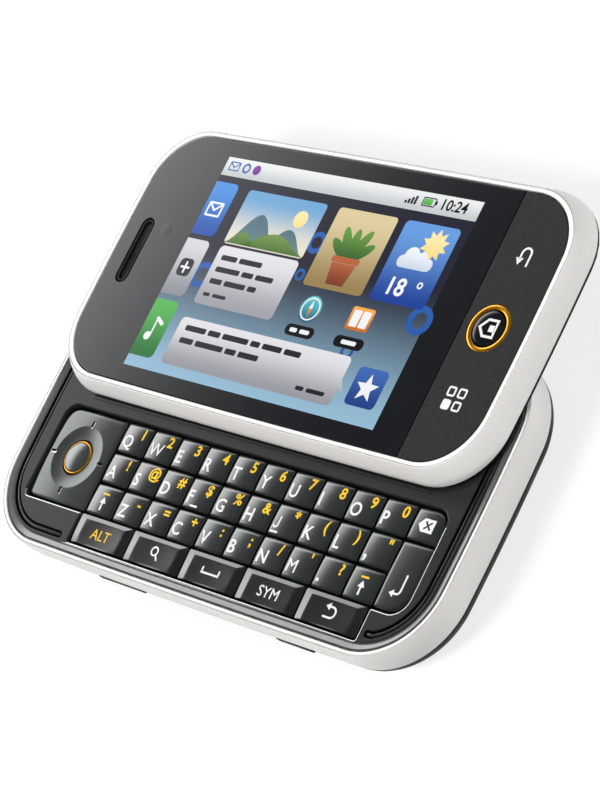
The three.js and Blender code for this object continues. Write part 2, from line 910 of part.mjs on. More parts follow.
function displayGlass() {
  const hole = stadium(
    earpieceX,
    0,
    earpieceLength + 2 * seam,
    earpieceWidth + 2 * seam,
    glassBottom - overrun,
    faceTop + overrun,
  );
  return cut(facePart(-faceOutline.length, chinLeft - seam / 2), [hole]);
}

// End panel of the face, with a step that carries the home button's ring.
function chinPanel() {
  const top = faceTop + overrun;
  return cut(facePart(chinLeft + seam / 2, faceOutline.length), [
    disc(homeX, 0, homeRingRadius + seam / 2, glassBottom + homeRingSeat, top),
    disc(homeX, 0, homeHole, glassBottom - overrun, top),
  ]);
}

function homeRing() {
  const bottom = glassBottom + homeRingSeat;
  const top = faceTop + homeRingRise;
  const hole = disc(homeX, 0, homeHole, bottom - overrun, top + overrun);
  return cut(disc(homeX, 0, homeRingRadius, bottom, top), [hole]);
}

// Push button with a flange that stays under the end panel.
function homeButton() {
  const radius = homeHole - touchGap;
  const flangeTop = glassBottom - touchGap;
  return turned(homeX, 0, [
    [0, flangeTop - homeFlangeHeight],
    [homeHole + homeFlange, flangeTop - homeFlangeHeight],
    [homeHole + homeFlange, flangeTop],
    [radius, flangeTop],
    [radius, faceTop + homeRise],
    [0, faceTop + homeRise],
  ]);
}

function earpieceGrille() {
  const top = faceTop - earpieceDrop;
  const slotLength = earpieceLength - 2 * earpieceWall;
  const slotWidth = earpieceWidth - 2 * earpieceWall;
  const insert = stadium(earpieceX, 0, earpieceLength, earpieceWidth, top - earpieceDepth, top);
  return cut(insert, [
    stadium(earpieceX, 0, slotLength, slotWidth, top - earpieceRecess, top + overrun),
  ]);
}

function lcdModule() {
  const halfWidth = screenHalfWidth + screenBorderSide;
  return box(
    screenLeft - screenBorderEnd,
    screenRight + screenBorderEnd,
    -halfWidth,
    halfWidth,
    screenTop - screenThickness,
    screenTop,
  );
}

// Plate under the display half. Its two undercut channels run over the base's rails.
function displayBackPlate() {
  const near = railNear - travel - touchGap;
  const far = railFar + touchGap;
  const neck = railStem / 2 + touchGap;
  const wide = railFlange / 2 + touchGap;
  const above = plateTop + overrun;
  const channels = [-1, 1].flatMap((side) => {
    const x = (side * railSpacing) / 2;
    return [
      box(x - neck, x + neck, near, far, displayBottom - overrun, above),
      box(x - wide, x + wide, near, far, rimBottom, above),
    ];
  });
  const thin = prism(outlinePoints(inset(rimOutline, plateSetback)), displayBottom, rimBottom);
  const plug = inset(rimOutline, rimWall + touchGap);
  return cut(joined([thin, prism(outlinePoints(plug), displayBottom, plateTop)]), channels);
}

const phone = new THREE.Group();
const base = new THREE.Group();
const display = new THREE.Group();
display.position.y = travel;
phone.add(base, display);

addPiece(base, "base_frame", baseFrame(), pearl);
addPiece(base, "keyboard_deck", keyboardDeck(), deckGrey);
for (const { name, cell } of letterKeys()) {
  addPiece(base, "key_" + name, keyBody(cell, keyTop, keyBevel), keyBlack);
}
for (const { name, cell } of wideKeyCells()) {
  addPiece(base, "key_" + name, keyBody(cell, keyTop + wideKeyRise, wideBevel), keyBlack);
}
addPiece(base, "nav_pad", navPad(), padGrey);
addPiece(base, "ok_button", okButton(), padGrey);
addPiece(base, "keypad_mat", keypadMat(), rubber);
addPiece(base, "slide_rail_plate", slideRailPlate(), steel);
addPiece(base, "main_board", mainBoard(), boardGreen);
const battery = doorSlab(doorLedge + touchGap, doorCorner, doorThickness, batteryTop);
addPiece(base, "battery", battery, batteryGrey);
addPiece(base, "battery_door", doorSlab(0, doorCorner, 0, doorThickness), shellBlack);
addPiece(base, "back_housing", backHousing(), shellBlack);
addPiece(base, "camera_module", cameraModule(), glossBlack);
addPiece(base, "volume_rocker", volumeRocker(), shellBlack);
addPiece(base, "camera_key", sideKey(cameraKeyX, cameraKeyLength, -1), shellBlack);
addPiece(base, "lock_key", sideKey(lockKeyX, lockKeyLength, 1), shellBlack);
addPiece(base, "usb_socket", usbSocket(), steel);

addPiece(display, "display_frame", displayFrame(), pearl);
addPiece(display, "display_glass", displayGlass(), glossBlack);
addPiece(display, "chin_panel", chinPanel(), charcoal);
addPiece(display, "home_ring", homeRing(), gold);
addPiece(display, "home_button", homeButton(), charcoal);
addPiece(display, "earpiece_grille", earpieceGrille(), shellBlack);
addPiece(display, "lcd_module", lcdModule(), screenBlue);
addPiece(display, "display_back_plate", displayBackPlate(), shellBlack);

export default phone;
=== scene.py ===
"""Looks of the slider phone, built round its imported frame. Lengths are in millimetres."""
import functools
import math

import bpy
import numpy as np
from mathutils import Matrix, Vector
from mathutils.geometry import delaunay_2d_cdt


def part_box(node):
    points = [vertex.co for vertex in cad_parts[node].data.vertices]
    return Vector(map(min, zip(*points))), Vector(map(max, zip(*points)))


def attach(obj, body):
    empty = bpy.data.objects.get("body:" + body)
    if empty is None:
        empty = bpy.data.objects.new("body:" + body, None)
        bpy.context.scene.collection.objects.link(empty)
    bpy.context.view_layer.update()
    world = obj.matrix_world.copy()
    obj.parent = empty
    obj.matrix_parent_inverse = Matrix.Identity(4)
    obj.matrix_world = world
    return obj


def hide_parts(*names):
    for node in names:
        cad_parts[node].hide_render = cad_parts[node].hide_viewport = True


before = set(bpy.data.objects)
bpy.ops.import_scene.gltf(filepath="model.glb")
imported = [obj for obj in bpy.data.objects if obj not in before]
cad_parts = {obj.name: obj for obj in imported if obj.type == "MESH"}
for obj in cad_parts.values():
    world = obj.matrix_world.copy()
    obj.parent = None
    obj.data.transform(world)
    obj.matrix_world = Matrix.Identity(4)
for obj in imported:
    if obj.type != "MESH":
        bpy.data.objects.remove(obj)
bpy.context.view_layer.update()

MM = 0.001  # one millimetre in Blender's units


def node_box(name):
    """Lowest and highest corner of a CAD node."""
    low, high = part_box(name)
    return np.array(low) / MM, np.array(high) / MM


BASE_LOW, BASE_HIGH = node_box("base_frame")
RIM_LOW, RIM_HIGH = node_box("display_frame")
SHELL_LOW, SHELL_HIGH = node_box("back_housing")
DECK_LOW, DECK_HIGH = node_box("keyboard_deck")
GLASS_LOW, GLASS_HIGH = node_box("display_glass")
CHIN_LOW, CHIN_HIGH = node_box("chin_panel")
DOOR_LOW, DOOR_HIGH = node_box("battery_door")
PAD_LOW, PAD_HIGH = node_box("nav_pad")
OK_LOW, OK_HIGH = node_box("ok_button")
RING_LOW, RING_HIGH = node_box("home_ring")
HOME_LOW, HOME_HIGH = node_box("home_button")
SLOT_LOW, SLOT_HIGH = node_box("earpiece_grille")
LCD_LOW, LCD_HIGH = node_box("lcd_module")
CAMERA_LOW, _ = node_box("camera_module")
SOCKET_LOW, SOCKET_HIGH = node_box("usb_socket")

# Facets
END_STEPS = 10
CORNER_STEPS = 24
SIDE_STEPS = 16
KEY_CORNER_STEPS = 5
FILLET_STEPS = 4
CIRCLE_STEPS = 96
SMOOTH_ANGLE = math.radians(38)
SUPPORT = 0.03  # flat strip between a fillet and its face, and the least radius of a corner
EASE = 0.06  # slope that eases the edge of a flat lip
TOLERANCE = 1e-6
TURN = 2 * math.pi
QUARTER = TURN / 4

# Outlines, as in the model's source
BASE_CORNER = 15.5
BASE_END_BOW = 0.8
BASE_SIDE_BOW = 0.3
RIM_CORNER = 12.4
FACE_CORNER = 11
RIM_END_BOW = 0.6
RIM_SIDE_BOW = 0.25


def cell_of(name):
    """A node's rectangle in plan, as (left, near, right, far)."""
    low, high = node_box(name)
    return (*low[:2], *high[:2])


def grown(cell, distance):
    left, near, right, far = cell
    return (left - distance, near - distance, right + distance, far + distance)


def middle_of(cell):
    return np.array([cell[0] + cell[2], cell[1] + cell[3]]) / 2


def steps_between(low, high):
    """A function from shares of the way up to heights."""
    return lambda share: low + (high - low) * share


def inset(outline, distance):
    """The same outline drawn in by a distance all round."""
    smaller = dict(outline)
    smaller["length"] -= 2 * distance
    smaller["width"] -= 2 * distance
    smaller["corner"] -= distance
    return smaller


def between(first, second, share):
    """The outline at a share of the way from one to another."""
    mixed = dict(first)
    for size in ("length", "width", "corner"):
        mixed[size] = first[size] + (second[size] - first[size]) * share
    return mixed


def bow_radius(half_chord, bow):
    return (half_chord**2 + bow**2) / (2 * bow)


def arc(centre, radius, start, end, steps):
    angles = np.linspace(start, end, steps + 1)
    return np.asarray(centre) + radius * np.column_stack([np.cos(angles), np.sin(angles)])


def circle(x, y, radius, steps=CIRCLE_STEPS):
    return arc((x, y), radius, 0, TURN, steps)[:-1]


def outline_points(outline):
    """A bowed outline, counter-clockwise from +X. Its corner arcs touch the end and side arcs."""
    length, width, corner = outline["length"], outline["width"], outline["corner"]
    end_radius = bow_radius(width / 2, outline["end_bow"])
    side_radius = bow_radius(length / 2, outline["side_bow"])
    end_centre = np.array([length / 2 - end_radius, 0])
    side_centre = np.array([0, width / 2 - side_radius])
    from_side = side_radius - corner
    from_end = end_radius - corner
    apart = np.linalg.norm(end_centre - side_centre)
    along = (from_side**2 - from_end**2 + apart**2) / (2 * apart)
    across = math.sqrt(from_side**2 - along**2)
    direction = (end_centre - side_centre) / apart
    aside = np.array([direction[1], -direction[0]])
    corner_centre = side_centre + along * direction + across * aside
    end_angle = math.atan2(*(corner_centre - end_centre)[::-1])
    side_angle = math.atan2(*(corner_centre - side_centre)[::-1])
    quarter = np.vstack([
        arc(end_centre, end_radius, 0, end_angle, END_STEPS),
        arc(corner_centre, corner, end_angle, side_angle, CORNER_STEPS)[1:],
        arc(side_centre, side_radius, side_angle, QUARTER, SIDE_STEPS)[1:],
    ])
    backwards = quarter[::-1]
    whole = np.vstack([
        quarter[:-1] * (1, 1),
        backwards[:-1] * (-1, 1),
        quarter[:-1] * (-1, -1),
        backwards[:-1] * (1, -1),
    ])
    return whole + (0, outline["y"])


def bowed(low, high, corner, end_bow, side_bow):
    """The bowed outline that fills a box."""
    return {
        "length": high[0] - low[0],
        "width": high[1] - low[1],
        "corner": corner,
        "end_bow": end_bow,
        "side_bow": side_bow,
        "y": (low[1] + high[1]) / 2,
    }


BASE = bowed(BASE_LOW, BASE_HIGH, BASE_CORNER, BASE_END_BOW, BASE_SIDE_BOW)
RIM = bowed(RIM_LOW, RIM_HIGH, RIM_CORNER, RIM_END_BOW, RIM_SIDE_BOW)
FACE_LOW = np.minimum(GLASS_LOW, CHIN_LOW)
FACE_HIGH = np.maximum(GLASS_HIGH, CHIN_HIGH)
FACE = bowed(FACE_LOW, FACE_HIGH, FACE_CORNER, RIM_END_BOW, RIM_SIDE_BOW)
FACE_TOP = FACE_HIGH[2]


def rounded(cell, corners, distance=0.0, steps=KEY_CORNER_STEPS, splits=0):
    """A rectangle drawn in by a distance, always with the same count of points. The corners are
    one radius or four: near left, near right, far right, far left. Splits are the points added
    along each straight side."""
    left, near, right, far = grown(cell, -distance)
    radii = [max(radius - distance, SUPPORT) for radius in np.broadcast_to(corners, 4)]
    places = (
        (left + radii[0], near + radii[0], 2),
        (right - radii[1], near + radii[1], -1),
        (right - radii[2], far - radii[2], 0),
        (left + radii[3], far - radii[3], 1),
    )
    bends = [
        arc((x, y), radius, turns * QUARTER, (turns + 1) * QUARTER, steps)
        for (x, y, turns), radius in zip(places, radii)
    ]
    shares = np.linspace(0, 1, splits + 2)[1:-1, None]
    parts = []
    for bend, following in zip(bends, bends[1:] + bends[:1]):
        parts += [bend, bend[-1] + (following[0] - bend[-1]) * shares]
    return np.vstack(parts)


def about(centre, half, corner):
    """A rounded rectangle about a centre, from half its length and width."""
    return rounded((*np.subtract(centre, half), *np.add(centre, half)), corner)


def at_height(points, height):
    """Plan points as points in space. The height is a number or one number for each point."""
    return np.column_stack([points, np.broadcast_to(height, len(points))])


def level(outline, distance, height):
    """A ring at a height: a bowed outline drawn in by a distance."""
    return at_height(outline_points(inset(outline, distance)), height)


def loft(rings, looped=False):
    """A closed skin over rings with equal counts of points."""
    count = len(rings[0])
    spans = len(rings) if looped else len(rings) - 1
    faces = []
    for i in range(spans):
        low = i * count
        high = (i + 1) % len(rings) * count
        for j in range(count):
            k = (j + 1) % count
            faces.append((low + j, low + k, high + k, high + j))
    if not looped:
        last = (len(rings) - 1) * count
        faces.append(tuple(reversed(range(count))))
        faces.append(tuple(range(last, last + count)))
    return np.vstack(rings), faces


def inside(points, loops):
    """Whether each point lies in an odd number of the loops."""
    x, y = points[:, :1], points[:, 1:]
    odd = np.zeros(len(points), bool)
    for loop in loops:
        (x0, y0), (x1, y1) = loop.T, np.roll(loop, -1, axis=0).T
        crossed = (y0 > y) != (y1 > y)
        rise = np.where(y1 == y0, 1, y1 - y0)
        crossed &= x < x0 + (y - y0) * (x1 - x0) / rise
        odd ^= crossed.sum(axis=1) % 2 == 1
    return odd


def filled(loops, up):
    """Triangles over the first loop less the others, as indices into all their points."""
    points = np.vstack(loops)
    edges, start = [], 0
    for loop in loops:
        count = len(loop)
        edges += [(start + i, start + (i + 1) % count) for i in range(count)]
        start += count
    spots = [Vector(point) for point in points]
    corners, _, faces, sources, *_ = delaunay_2d_cdt(spots, edges, [], 0, TOLERANCE)
    places = np.array([tuple(corner) for corner in corners])
    within = inside(np.array([places[list(face)].mean(axis=0) for face in faces]), loops)
    chosen = [tuple(sources[i][0] for i in face) for face, kept in zip(faces, within) if kept]
    return chosen if up else [face[::-1] for face in chosen]


def plate(loops, bottom, top, pockets=()):
    """A flat plate from (loop, fillet) pairs. A loop is a function from a distance to an outline
    that is drawn into the material by it: first the outer one, counter-clockwise, then the holes,
    clockwise. Pockets are (loop, fillet, floor) and don't go through."""
    vertices, faces, lows, highs, tops, bottoms = [], [], [], [], [], []
    start = 0
    walls = [(loop, fillet, bottom) for loop, fillet in loops] + list(pockets)
    for place, (loop, fillet, foot) in enumerate(walls):
        levels = [(0.0, foot), (0.0, top)]
        if fillet:
            levels = [(0.0, foot)]
            for angle in np.linspace(0, QUARTER, FILLET_STEPS + 1):
                drop = fillet * (1 - math.sin(angle))
                levels.append((fillet * (1 - math.cos(angle)), top - drop))
            levels.append((fillet + SUPPORT, top))
        stack = [at_height(loop(distance), z) for distance, z in levels]
        points, sides = loft(stack)
        vertices.append(points)
        faces += [tuple(start + i for i in face) for face in sides[:-2]]
        foot_ring = range(start, start + len(stack[0]))
        if place < len(loops):
            lows += foot_ring
            bottoms.append(stack[0][:, :2])
        else:
            floor = filled([stack[0][:, :2]], True)
            faces += [tuple(foot_ring[i] for i in face) for face in floor]
        highs += range(start + len(points) - len(stack[0]), start + len(points))
        tops.append(stack[-1][:, :2])
        start += len(points)
    for index, outlines, up in ((lows, bottoms, False), (highs, tops, True)):
        faces += [tuple(index[i] for i in face) for face in filled(outlines, up)]
    return np.vstack(vertices), faces


def joined(*meshes):
    """Several meshes as one."""
    vertices, faces, start = [], [], 0
    for points, sides in meshes:
        vertices.append(points)
        faces += [tuple(start + i for i in face) for face in sides]
        start += len(points)
    return np.vstack(vertices), faces


def lathe(x, y, profile, steps=CIRCLE_STEPS):
    """A solid turned about an upright axis, from (radius, height) pairs from foot to top."""
    return loft([at_height(circle(x, y, radius, steps), z) for radius, z in profile])


def rounded_ring(centre, outer, inner, foot, top, drop, steps):
    """A ring round an upright axis. Its upper side bulges from the drop up to the top."""
    middle, half = (outer + inner) / 2, (outer - inner) / 2
    rings = [at_height(circle(*centre, outer), foot)]
    for angle in np.linspace(0, math.pi, steps + 1):
        edge = circle(*centre, middle + half * math.cos(angle))
        rings.append(at_height(edge, top - drop * (1 - math.sin(angle))))
    rings.append(at_height(circle(*centre, inner), foot))
    return loft(rings, looped=True)


def hole(points):
    """A hole's outline as a loop for plate(): clockwise, and wider by the distance asked for."""
    return lambda distance: points(-distance)[::-1]


def add_object(name, mesh):
    vertices, faces = mesh
    data = bpy.data.meshes.new(name)
    data.from_pydata((np.asarray(vertices) * MM).tolist(), [], faces)
    data.validate()
    data.shade_smooth()
    data.set_sharp_from_angle(angle=SMOOTH_ANGLE)
    item = bpy.data.objects.new(name, data)
    bpy.context.scene.collection.objects.link(item)
    return item


def add_piece(name, mesh, body, finish, slot, *nodes):
    """A piece with its finish, that rides on a body and stands for some CAD nodes."""
    item = add_object(name, mesh)
    item.data.materials.append(finish)
    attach(item, body)
    if nodes:
        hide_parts(*nodes)
    return item


def cut(item, cutters):
    """Takes meshes away from a piece."""
    tools = []
    for mesh in cutters:
        tool = add_object("cutter", mesh)
        tools.append(tool)
        change = item.modifiers.new("cut", "BOOLEAN")
        change.operation = "DIFFERENCE"
        change.solver = "EXACT"
        change.object = tool
    bpy.context.view_layer.update()
    seen = item.evaluated_get(bpy.context.evaluated_depsgraph_get())
    result = bpy.data.meshes.new_from_object(seen)
    item.modifiers.clear()
    item.data = result
    item.data.set_sharp_from_angle(angle=SMOOTH_ANGLE)
    for tool in tools:
        bpy.data.objects.remove(tool)


def face_centres(item):
    return np.array([face.center for face in item.data.polygons]) / MM


def repaint(item, chosen, finish):
    """Gives the chosen faces of a piece another finish."""
    item.data.materials.append(finish)
    for i in np.flatnonzero(chosen):
        item.data.polygons[i].material_index = len(item.data.materials) - 1


# Materials

NOISE_RANGE = (0.3, 0.7)  # noise seldom leaves it
PATCH = 12  # grains to a patch of even roughness
PATCH_RANGE = (0.85, 1.15)  # patches' roughness, as shares of the finish's own
COAT_ROUGHNESS = 0.08
BUMP_DETAIL = 2.0


def new_material(name):
    finish = bpy.data.materials.new(name)
    finish.use_nodes = True
    return finish, finish.node_tree, finish.node_tree.nodes["Principled BSDF"]


def feed(tree, node, values):
    """Sets each named input of a node to its value, or links it to its socket."""
    for name, value in values.items():
        if isinstance(value, bpy.types.NodeSocket):
            tree.links.new(value, node.inputs[name])
        else:
            node.inputs[name].default_value = value


def add_node(tree, kind, output, values, **settings):
    """Adds a node with its settings, feeds its inputs, and gives one of its outputs."""
    node = tree.nodes.new("ShaderNode" + kind)
    for name, setting in settings.items():
        setattr(node, name, setting)
    feed(tree, node, values)
    return node.outputs[output]


def map_range(tree, value, start, end, low, high, way="SMOOTHSTEP"):
    """A value carried from one range over to another, and held at its ends."""
    values = {"Value": value, "From Min": start, "From Max": end, "To Min": low, "To Max": high}
    return add_node(tree, "MapRange", "Result", values, interpolation_type=way)


def noise_between(tree, scale, low, high, detail=3.0):
    """Noise in object space, spread between two values."""
    place = add_node(tree, "TexCoord", "Object", {})
    noise = add_node(tree, "TexNoise", "Fac", {"Vector": place, "Scale": scale, "Detail": detail})
    return map_range(tree, noise, *NOISE_RANGE, low, high, "LINEAR")


def mixed_colour(tree, share, first, second):
    values = {"Factor": share, "A": (*first, 1), "B": (*second, 1)}
    return add_node(tree, "Mix", "Result", values, data_type="RGBA")


def surface(name, dark, light, roughness, grain, bump=0.0,
            metallic=0.0, coat=0.0, specular=0.5, ior=1.5):
    """A moulded, painted or metal surface. Its colour wanders between two tones at the size of
    its grain, its roughness wanders over larger patches, and the grain stands up by a bump."""
    finish, tree, shader = new_material(name)
    per_metre = 1 / (grain * MM)
    low, high = (roughness * share for share in PATCH_RANGE)
    feed(tree, shader, {
        "Base Color": mixed_colour(tree, noise_between(tree, per_metre, 0, 1), dark, light),
        "Roughness": noise_between(tree, per_metre / PATCH, low, high),
        "Metallic": metallic,
        "Specular IOR Level": specular,
        "IOR": ior,
        "Coat Weight": coat,
        "Coat Roughness": COAT_ROUGHNESS,
    })
    if bump:
        height = noise_between(tree, per_metre, 0, 1, BUMP_DETAIL)
        values = {"Height": height, "Strength": 1.0, "Distance": bump * MM}
        feed(tree, shader, {"Normal": add_node(tree, "Bump", "Normal", values)})
    return finish


PEARL = surface("pearl", (0.74, 0.723, 0.698), (0.77, 0.753, 0.728), 0.34, 0.4, metallic=0.04)
# A brighter, coated copy of the pearl for the rims' flat tops: painted highlight.
LIT_PEARL_LIP = surface("pearl_lip_painted_highlight", (0.93, 0.92, 0.90), (0.95, 0.94, 0.92), 0.3, 0.2,
              metallic=0.04, coat=0.3)
LENS = surface("cover_glass", (0.003, 0.004, 0.006), (0.005, 0.006, 0.009), 0.10, 6.0,
               specular=1.0)
CHARCOAL = surface("charcoal", (0.010, 0.010, 0.011), (0.024, 0.024, 0.025), 0.42, 0.3, 0.006,
                   specular=0.2)
DECK = surface("deck_grey", (0.014, 0.014, 0.015), (0.018, 0.018, 0.020), 0.30, 0.6,
               specular=0.42)
BORDER = surface("deck_border", (0.22, 0.22, 0.23), (0.25, 0.25, 0.26), 0.22, 0.6, metallic=0.5)
# Bright metal that stands for the highlights on the key opening's edges and beside the pad's ticks:
# painted highlight.
HIGHLIGHT_EDGE = surface("painted_highlight_edge", (0.62, 0.62, 0.63), (0.68, 0.68, 0.69), 0.20, 0.6, metallic=0.9)
# Near-black that stands for the shade in the deck's grooves and the pad's tick slots: painted
# shade.
GROOVE_SHADE = surface("groove_painted_shade", (0.002, 0.002, 0.002), (0.003, 0.003, 0.003), 0.6, 0.6,
                 specular=0.04)
KEY = surface("key_gloss", (0.010, 0.013, 0.013), (0.014, 0.018, 0.018), 0.18, 2.5,
              coat=1.0, specular=0.85, ior=1.7)
WIDE_KEY = surface("wide_key", (0.006, 0.006, 0.007), (0.009, 0.009, 0.010), 0.16, 2.5,
                   coat=0.7, specular=0.65, ior=1.7)
PAD = surface("pad_silver", (0.095, 0.107, 0.104), (0.11, 0.122, 0.119), 0.20, 2.0,
              metallic=0.7, coat=0.4)
SILVER = surface("button_silver", (0.15, 0.165, 0.165), (0.18, 0.195, 0.195), 0.16, 2.0,
                 metallic=0.8, coat=0.4)
GOLD = surface("gold", (0.80, 0.36, 0.015), (0.92, 0.45, 0.025), 0.20, 0.6,
               metallic=0.9, coat=0.3)
RUBBER = surface("mat_rubber", (0.002, 0.002, 0.002), (0.006, 0.006, 0.006), 0.7, 0.3, 0.01)
SHELL = surface("shell_black", (0.004, 0.004, 0.005), (0.009, 0.009, 0.010), 0.5, 0.3, 0.004,
                specular=0.2)
LENS_RIM = surface("lens_black", (0.003, 0.003, 0.004), (0.006, 0.006, 0.008), 0.06, 2.0,
                   coat=0.6)
STEEL = surface("steel", (0.42, 0.42, 0.43), (0.60, 0.60, 0.61), 0.28, 0.2, 0.001, metallic=1.0)
BOARD = surface("board", (0.008, 0.05, 0.022), (0.02, 0.09, 0.045), 0.4, 0.6, 0.01)
CELL = surface("cell", (0.03, 0.032, 0.035), (0.05, 0.052, 0.055), 0.35, 0.8, 0.01,
               metallic=0.3)
WHITE_INK = surface("white_ink", (0.78, 0.79, 0.80), (0.85, 0.86, 0.86), 0.4, 0.6)
YELLOW_INK = surface("yellow_ink", (0.85, 0.52, 0.01), (0.95, 0.60, 0.02), 0.4, 0.6)


# Rim bands

BAND_LIP_WIDTH = 0.72
BAND_INSET = 0.3  # lip's outer edge, in from the bulge
CREASE = ((0, 0), (0.02, 0.22), (0.17, 0.22), (0.19, 0))  # line round a lip, as (inset, drop)
LIP_DEPTH = 0.03
BAND_FOOT = 0.3
BAND_WALL = 1.9
BAND_SHARES = ((0, 1), (0.08, 0.7), (0.2, 0.35), (0.34, 0.1), (0.5, 0))
BAND_TOP_SHARES = (
    (0.6, 0.05), (0.72, 0.18), (0.83, 0.37), (0.9, 0.56), (0.955, 0.78), (0.985, 0.93), (1, 1),
)


def rim_band():
    """Rim band of the base: a bulging wall, a flat lip, and the ledge under the deck."""
    foot, top, ledge = BASE_LOW[2], BASE_HIGH[2], DECK_LOW[2]
    height = steps_between(foot, top)
    low = [level(BASE, BAND_FOOT * share, height(rise)) for rise, share in BAND_SHARES]
    high = [level(BASE, BAND_INSET * share, height(rise)) for rise, share in BAND_TOP_SHARES]
    line = [level(BASE, BAND_INSET + distance, top - drop) for distance, drop in CREASE]
    lip = BAND_INSET + BAND_LIP_WIDTH
    inner = [
        level(BASE, lip - EASE, top),
        level(BASE, lip, top - EASE),
        level(BASE, lip, ledge),
        level(BASE, BAND_WALL, ledge),
        level(BASE, BAND_WALL, foot),
    ]
    return loft(low + high + line + inner, looped=True)


RIM_SHARES = (
    (0, 0.015), (0.012, 0), (0.14, 0), (0.22, 0.012), (0.3, 0.04), (0.38, 0.08), (0.52, 0.165),
    (0.68, 0.275), (0.82, 0.385), (0.92, 0.475), (0.965, 0.52), (0.99, 0.56),
)
RIM_CREST = 0.58  # share of the way in at which the slope meets the lip
RIM_LIP_SHARE = 0.9
RIM_WALL = 2.2
FACE_GAP = 0.25  # rim's lip to the face
SHELF_INSET = 1.9
SHELF_THICKNESS = 1.2


def display_rim():
    """Rim of the display half: a sloping wall, a narrow lip, and a shelf under the face."""
    foot, top, shelf = RIM_LOW[2], RIM_HIGH[2], GLASS_LOW[2]
    height = steps_between(foot, top)
    slope = [level(between(RIM, FACE, share), 0, height(rise)) for rise, share in RIM_SHARES]
    crest = between(RIM, FACE, RIM_CREST)
    line = [level(crest, distance, top - drop) for distance, drop in CREASE]
    inner = [
        level(between(RIM, FACE, RIM_LIP_SHARE), 0, top),
        level(FACE, -FACE_GAP, FACE_TOP + SUPPORT),
        level(FACE, -FACE_GAP, shelf),
        level(FACE, SHELF_INSET, shelf),
        level(FACE, SHELF_INSET, shelf - SHELF_THICKNESS),
        level(RIM, RIM_WALL, shelf - SHELF_THICKNESS),
        level(RIM, RIM_WALL, foot),
    ]
    return loft(slope + line + inner, looped=True)


band = add_piece("rim_band", rim_band(), "base", PEARL, "pearl", "base_frame")
# The band's flat top takes the brighter pearl: painted highlight.
repaint(band, face_centres(band)[:, 2] > BASE_HIGH[2] - LIP_DEPTH, LIT_PEARL_LIP)
rim = add_piece("display_rim", display_rim(), "display", PEARL, "pearl", "display_frame")
# The rim's flat top takes the brighter pearl too: painted highlight.
repaint(rim, face_centres(rim)[:, 2] > RIM_HIGH[2] - LIP_DEPTH, LIT_PEARL_LIP)


def stretch(points, wanted):
    """The unbroken run of wanted points of a closed outline."""
    first = next(i for i in range(len(points)) if wanted[i] and not wanted[i - 1])
    return np.roll(points, -first, axis=0)[:np.count_nonzero(wanted)]


def ribbon(line, width, cap_steps=6):
    """The outline of a line of some width with round ends, counter-clockwise."""
    line = np.asarray(line, float)
    step = np.diff(line, axis=0)
    step /= np.linalg.norm(step, axis=1)[:, None]
    side = np.column_stack([-step[:, 1], step[:, 0]])
    middle = side[:-1] + side[1:]
    middle /= np.einsum("ij,ij->i", middle, side[:-1])[:, None]
    offset = np.vstack([side[:1], middle, side[-1:]]) * width / 2
    start, end = (math.atan2(y, x) for x, y in (step[0], step[-1]))
    end_cap = arc(line[-1], width / 2, end - QUARTER, end + QUARTER, cap_steps)[1:-1]
    start_cap = arc(line[0], width / 2, start + QUARTER, start + 3 * QUARTER, cap_steps)[1:-1]
    return np.vstack([line - offset, end_cap, (line + offset)[::-1], start_cap])


def slab(outline, bottom, top, *holes):
    """A flat plate with sharp edges from an outline, counter-clockwise, and its holes."""
    loops = [(lambda distance, points=points: points, 0.0) for points in (outline, *holes)]
    return plate(loops, bottom, top)


def flipped(mesh, height):
    """The mesh turned upside down about a height."""
    vertices, faces = mesh
    return vertices * (1, 1, -1) + (0, 0, 2 * height), [tuple(reversed(face)) for face in faces]


def moved(mesh, x=0.0, y=0.0, z=0.0):
    vertices, faces = mesh
    return vertices + (x, y, z), faces


def laid_on(mesh, height):
    """The mesh with its zero level laid on a surface given by a function of plan points."""
    vertices, faces = mesh
    raised = vertices.copy()
    raised[:, 2] += height(vertices[:, :2])
    return raised, faces


# Deck, its key opening and its grooves

WIDE_NAMES = ["key_alt", "key_search", "key_space", "key_symbol", "key_back"]
LETTER_NAMES = sorted(
    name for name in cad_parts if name.startswith("key_") and name not in WIDE_NAMES
)
KEY_GAP = 0.5
KEY_CORNER = 0.35
BLOCK_CORNER = 2.8
PAD_CORNER = 1.1  # near left corner of the pad and its opening
ENTER_CORNER = 3.6
OPENING_GAP = 0.3
OPENING_FILLET = 0.3
HIGHLIGHT_END = 5  # opening's far side to where the painted highlight on its right edge starts
GROOVE_INSET = 1.85
GROOVE_WIDTH = 1.3
GROOVE_DEPTH = 0.8
GROOVE_FILLET = 0.14
GROOVE_LEFT_END = 1.95  # wide keys' opening to the left groove's end
GROOVE_RIGHT_END = 1.25
GROOVE_UNDER = 14  # groove's run under the open display half
BORDER_WIDTH = 1.28
BORDER_GAP = 0.14
BORDER_DROP = 0.3  # slope of the border down to the deck
RIB_WIDTH = 0.5
RIB_EDGE = ((0, 0.3), (0.08, 0.22), (0.2, 0.2))  # how much narrower, and the drop to there
RIDGE_Y = 1.1
RIDGE_LENGTH = 88
RIDGE_WIDTH = 0.7
RIDGE_HEIGHT = 0.16
RIDGE_STEPS = 6

LETTER_CELLS = np.array([cell_of(name) for name in LETTER_NAMES])
WIDE_CELLS = np.array([cell_of(name) for name in WIDE_NAMES])
BLOCK = (
    PAD_LOW[0] - OPENING_GAP,
    LETTER_CELLS[:, 1].min() - KEY_GAP,
    LETTER_CELLS[:, 2].max() + KEY_GAP / 2,
    LETTER_CELLS[:, 3].max() + KEY_GAP,
)
STRIP = (
    WIDE_CELLS[0][0] - OPENING_GAP - KEY_GAP / 2,
    WIDE_CELLS[0][1] - KEY_GAP / 2,
    WIDE_CELLS[-1][2] + OPENING_GAP + KEY_GAP / 2,
)
DECK_CORNER = 14.2
DECK_LINE = bowed(DECK_LOW, DECK_HIGH, DECK_CORNER, BASE_END_BOW, BASE_SIDE_BOW)
DECK_FOOT, DECK_TOP = DECK_LOW[2], DECK_HIGH[2]


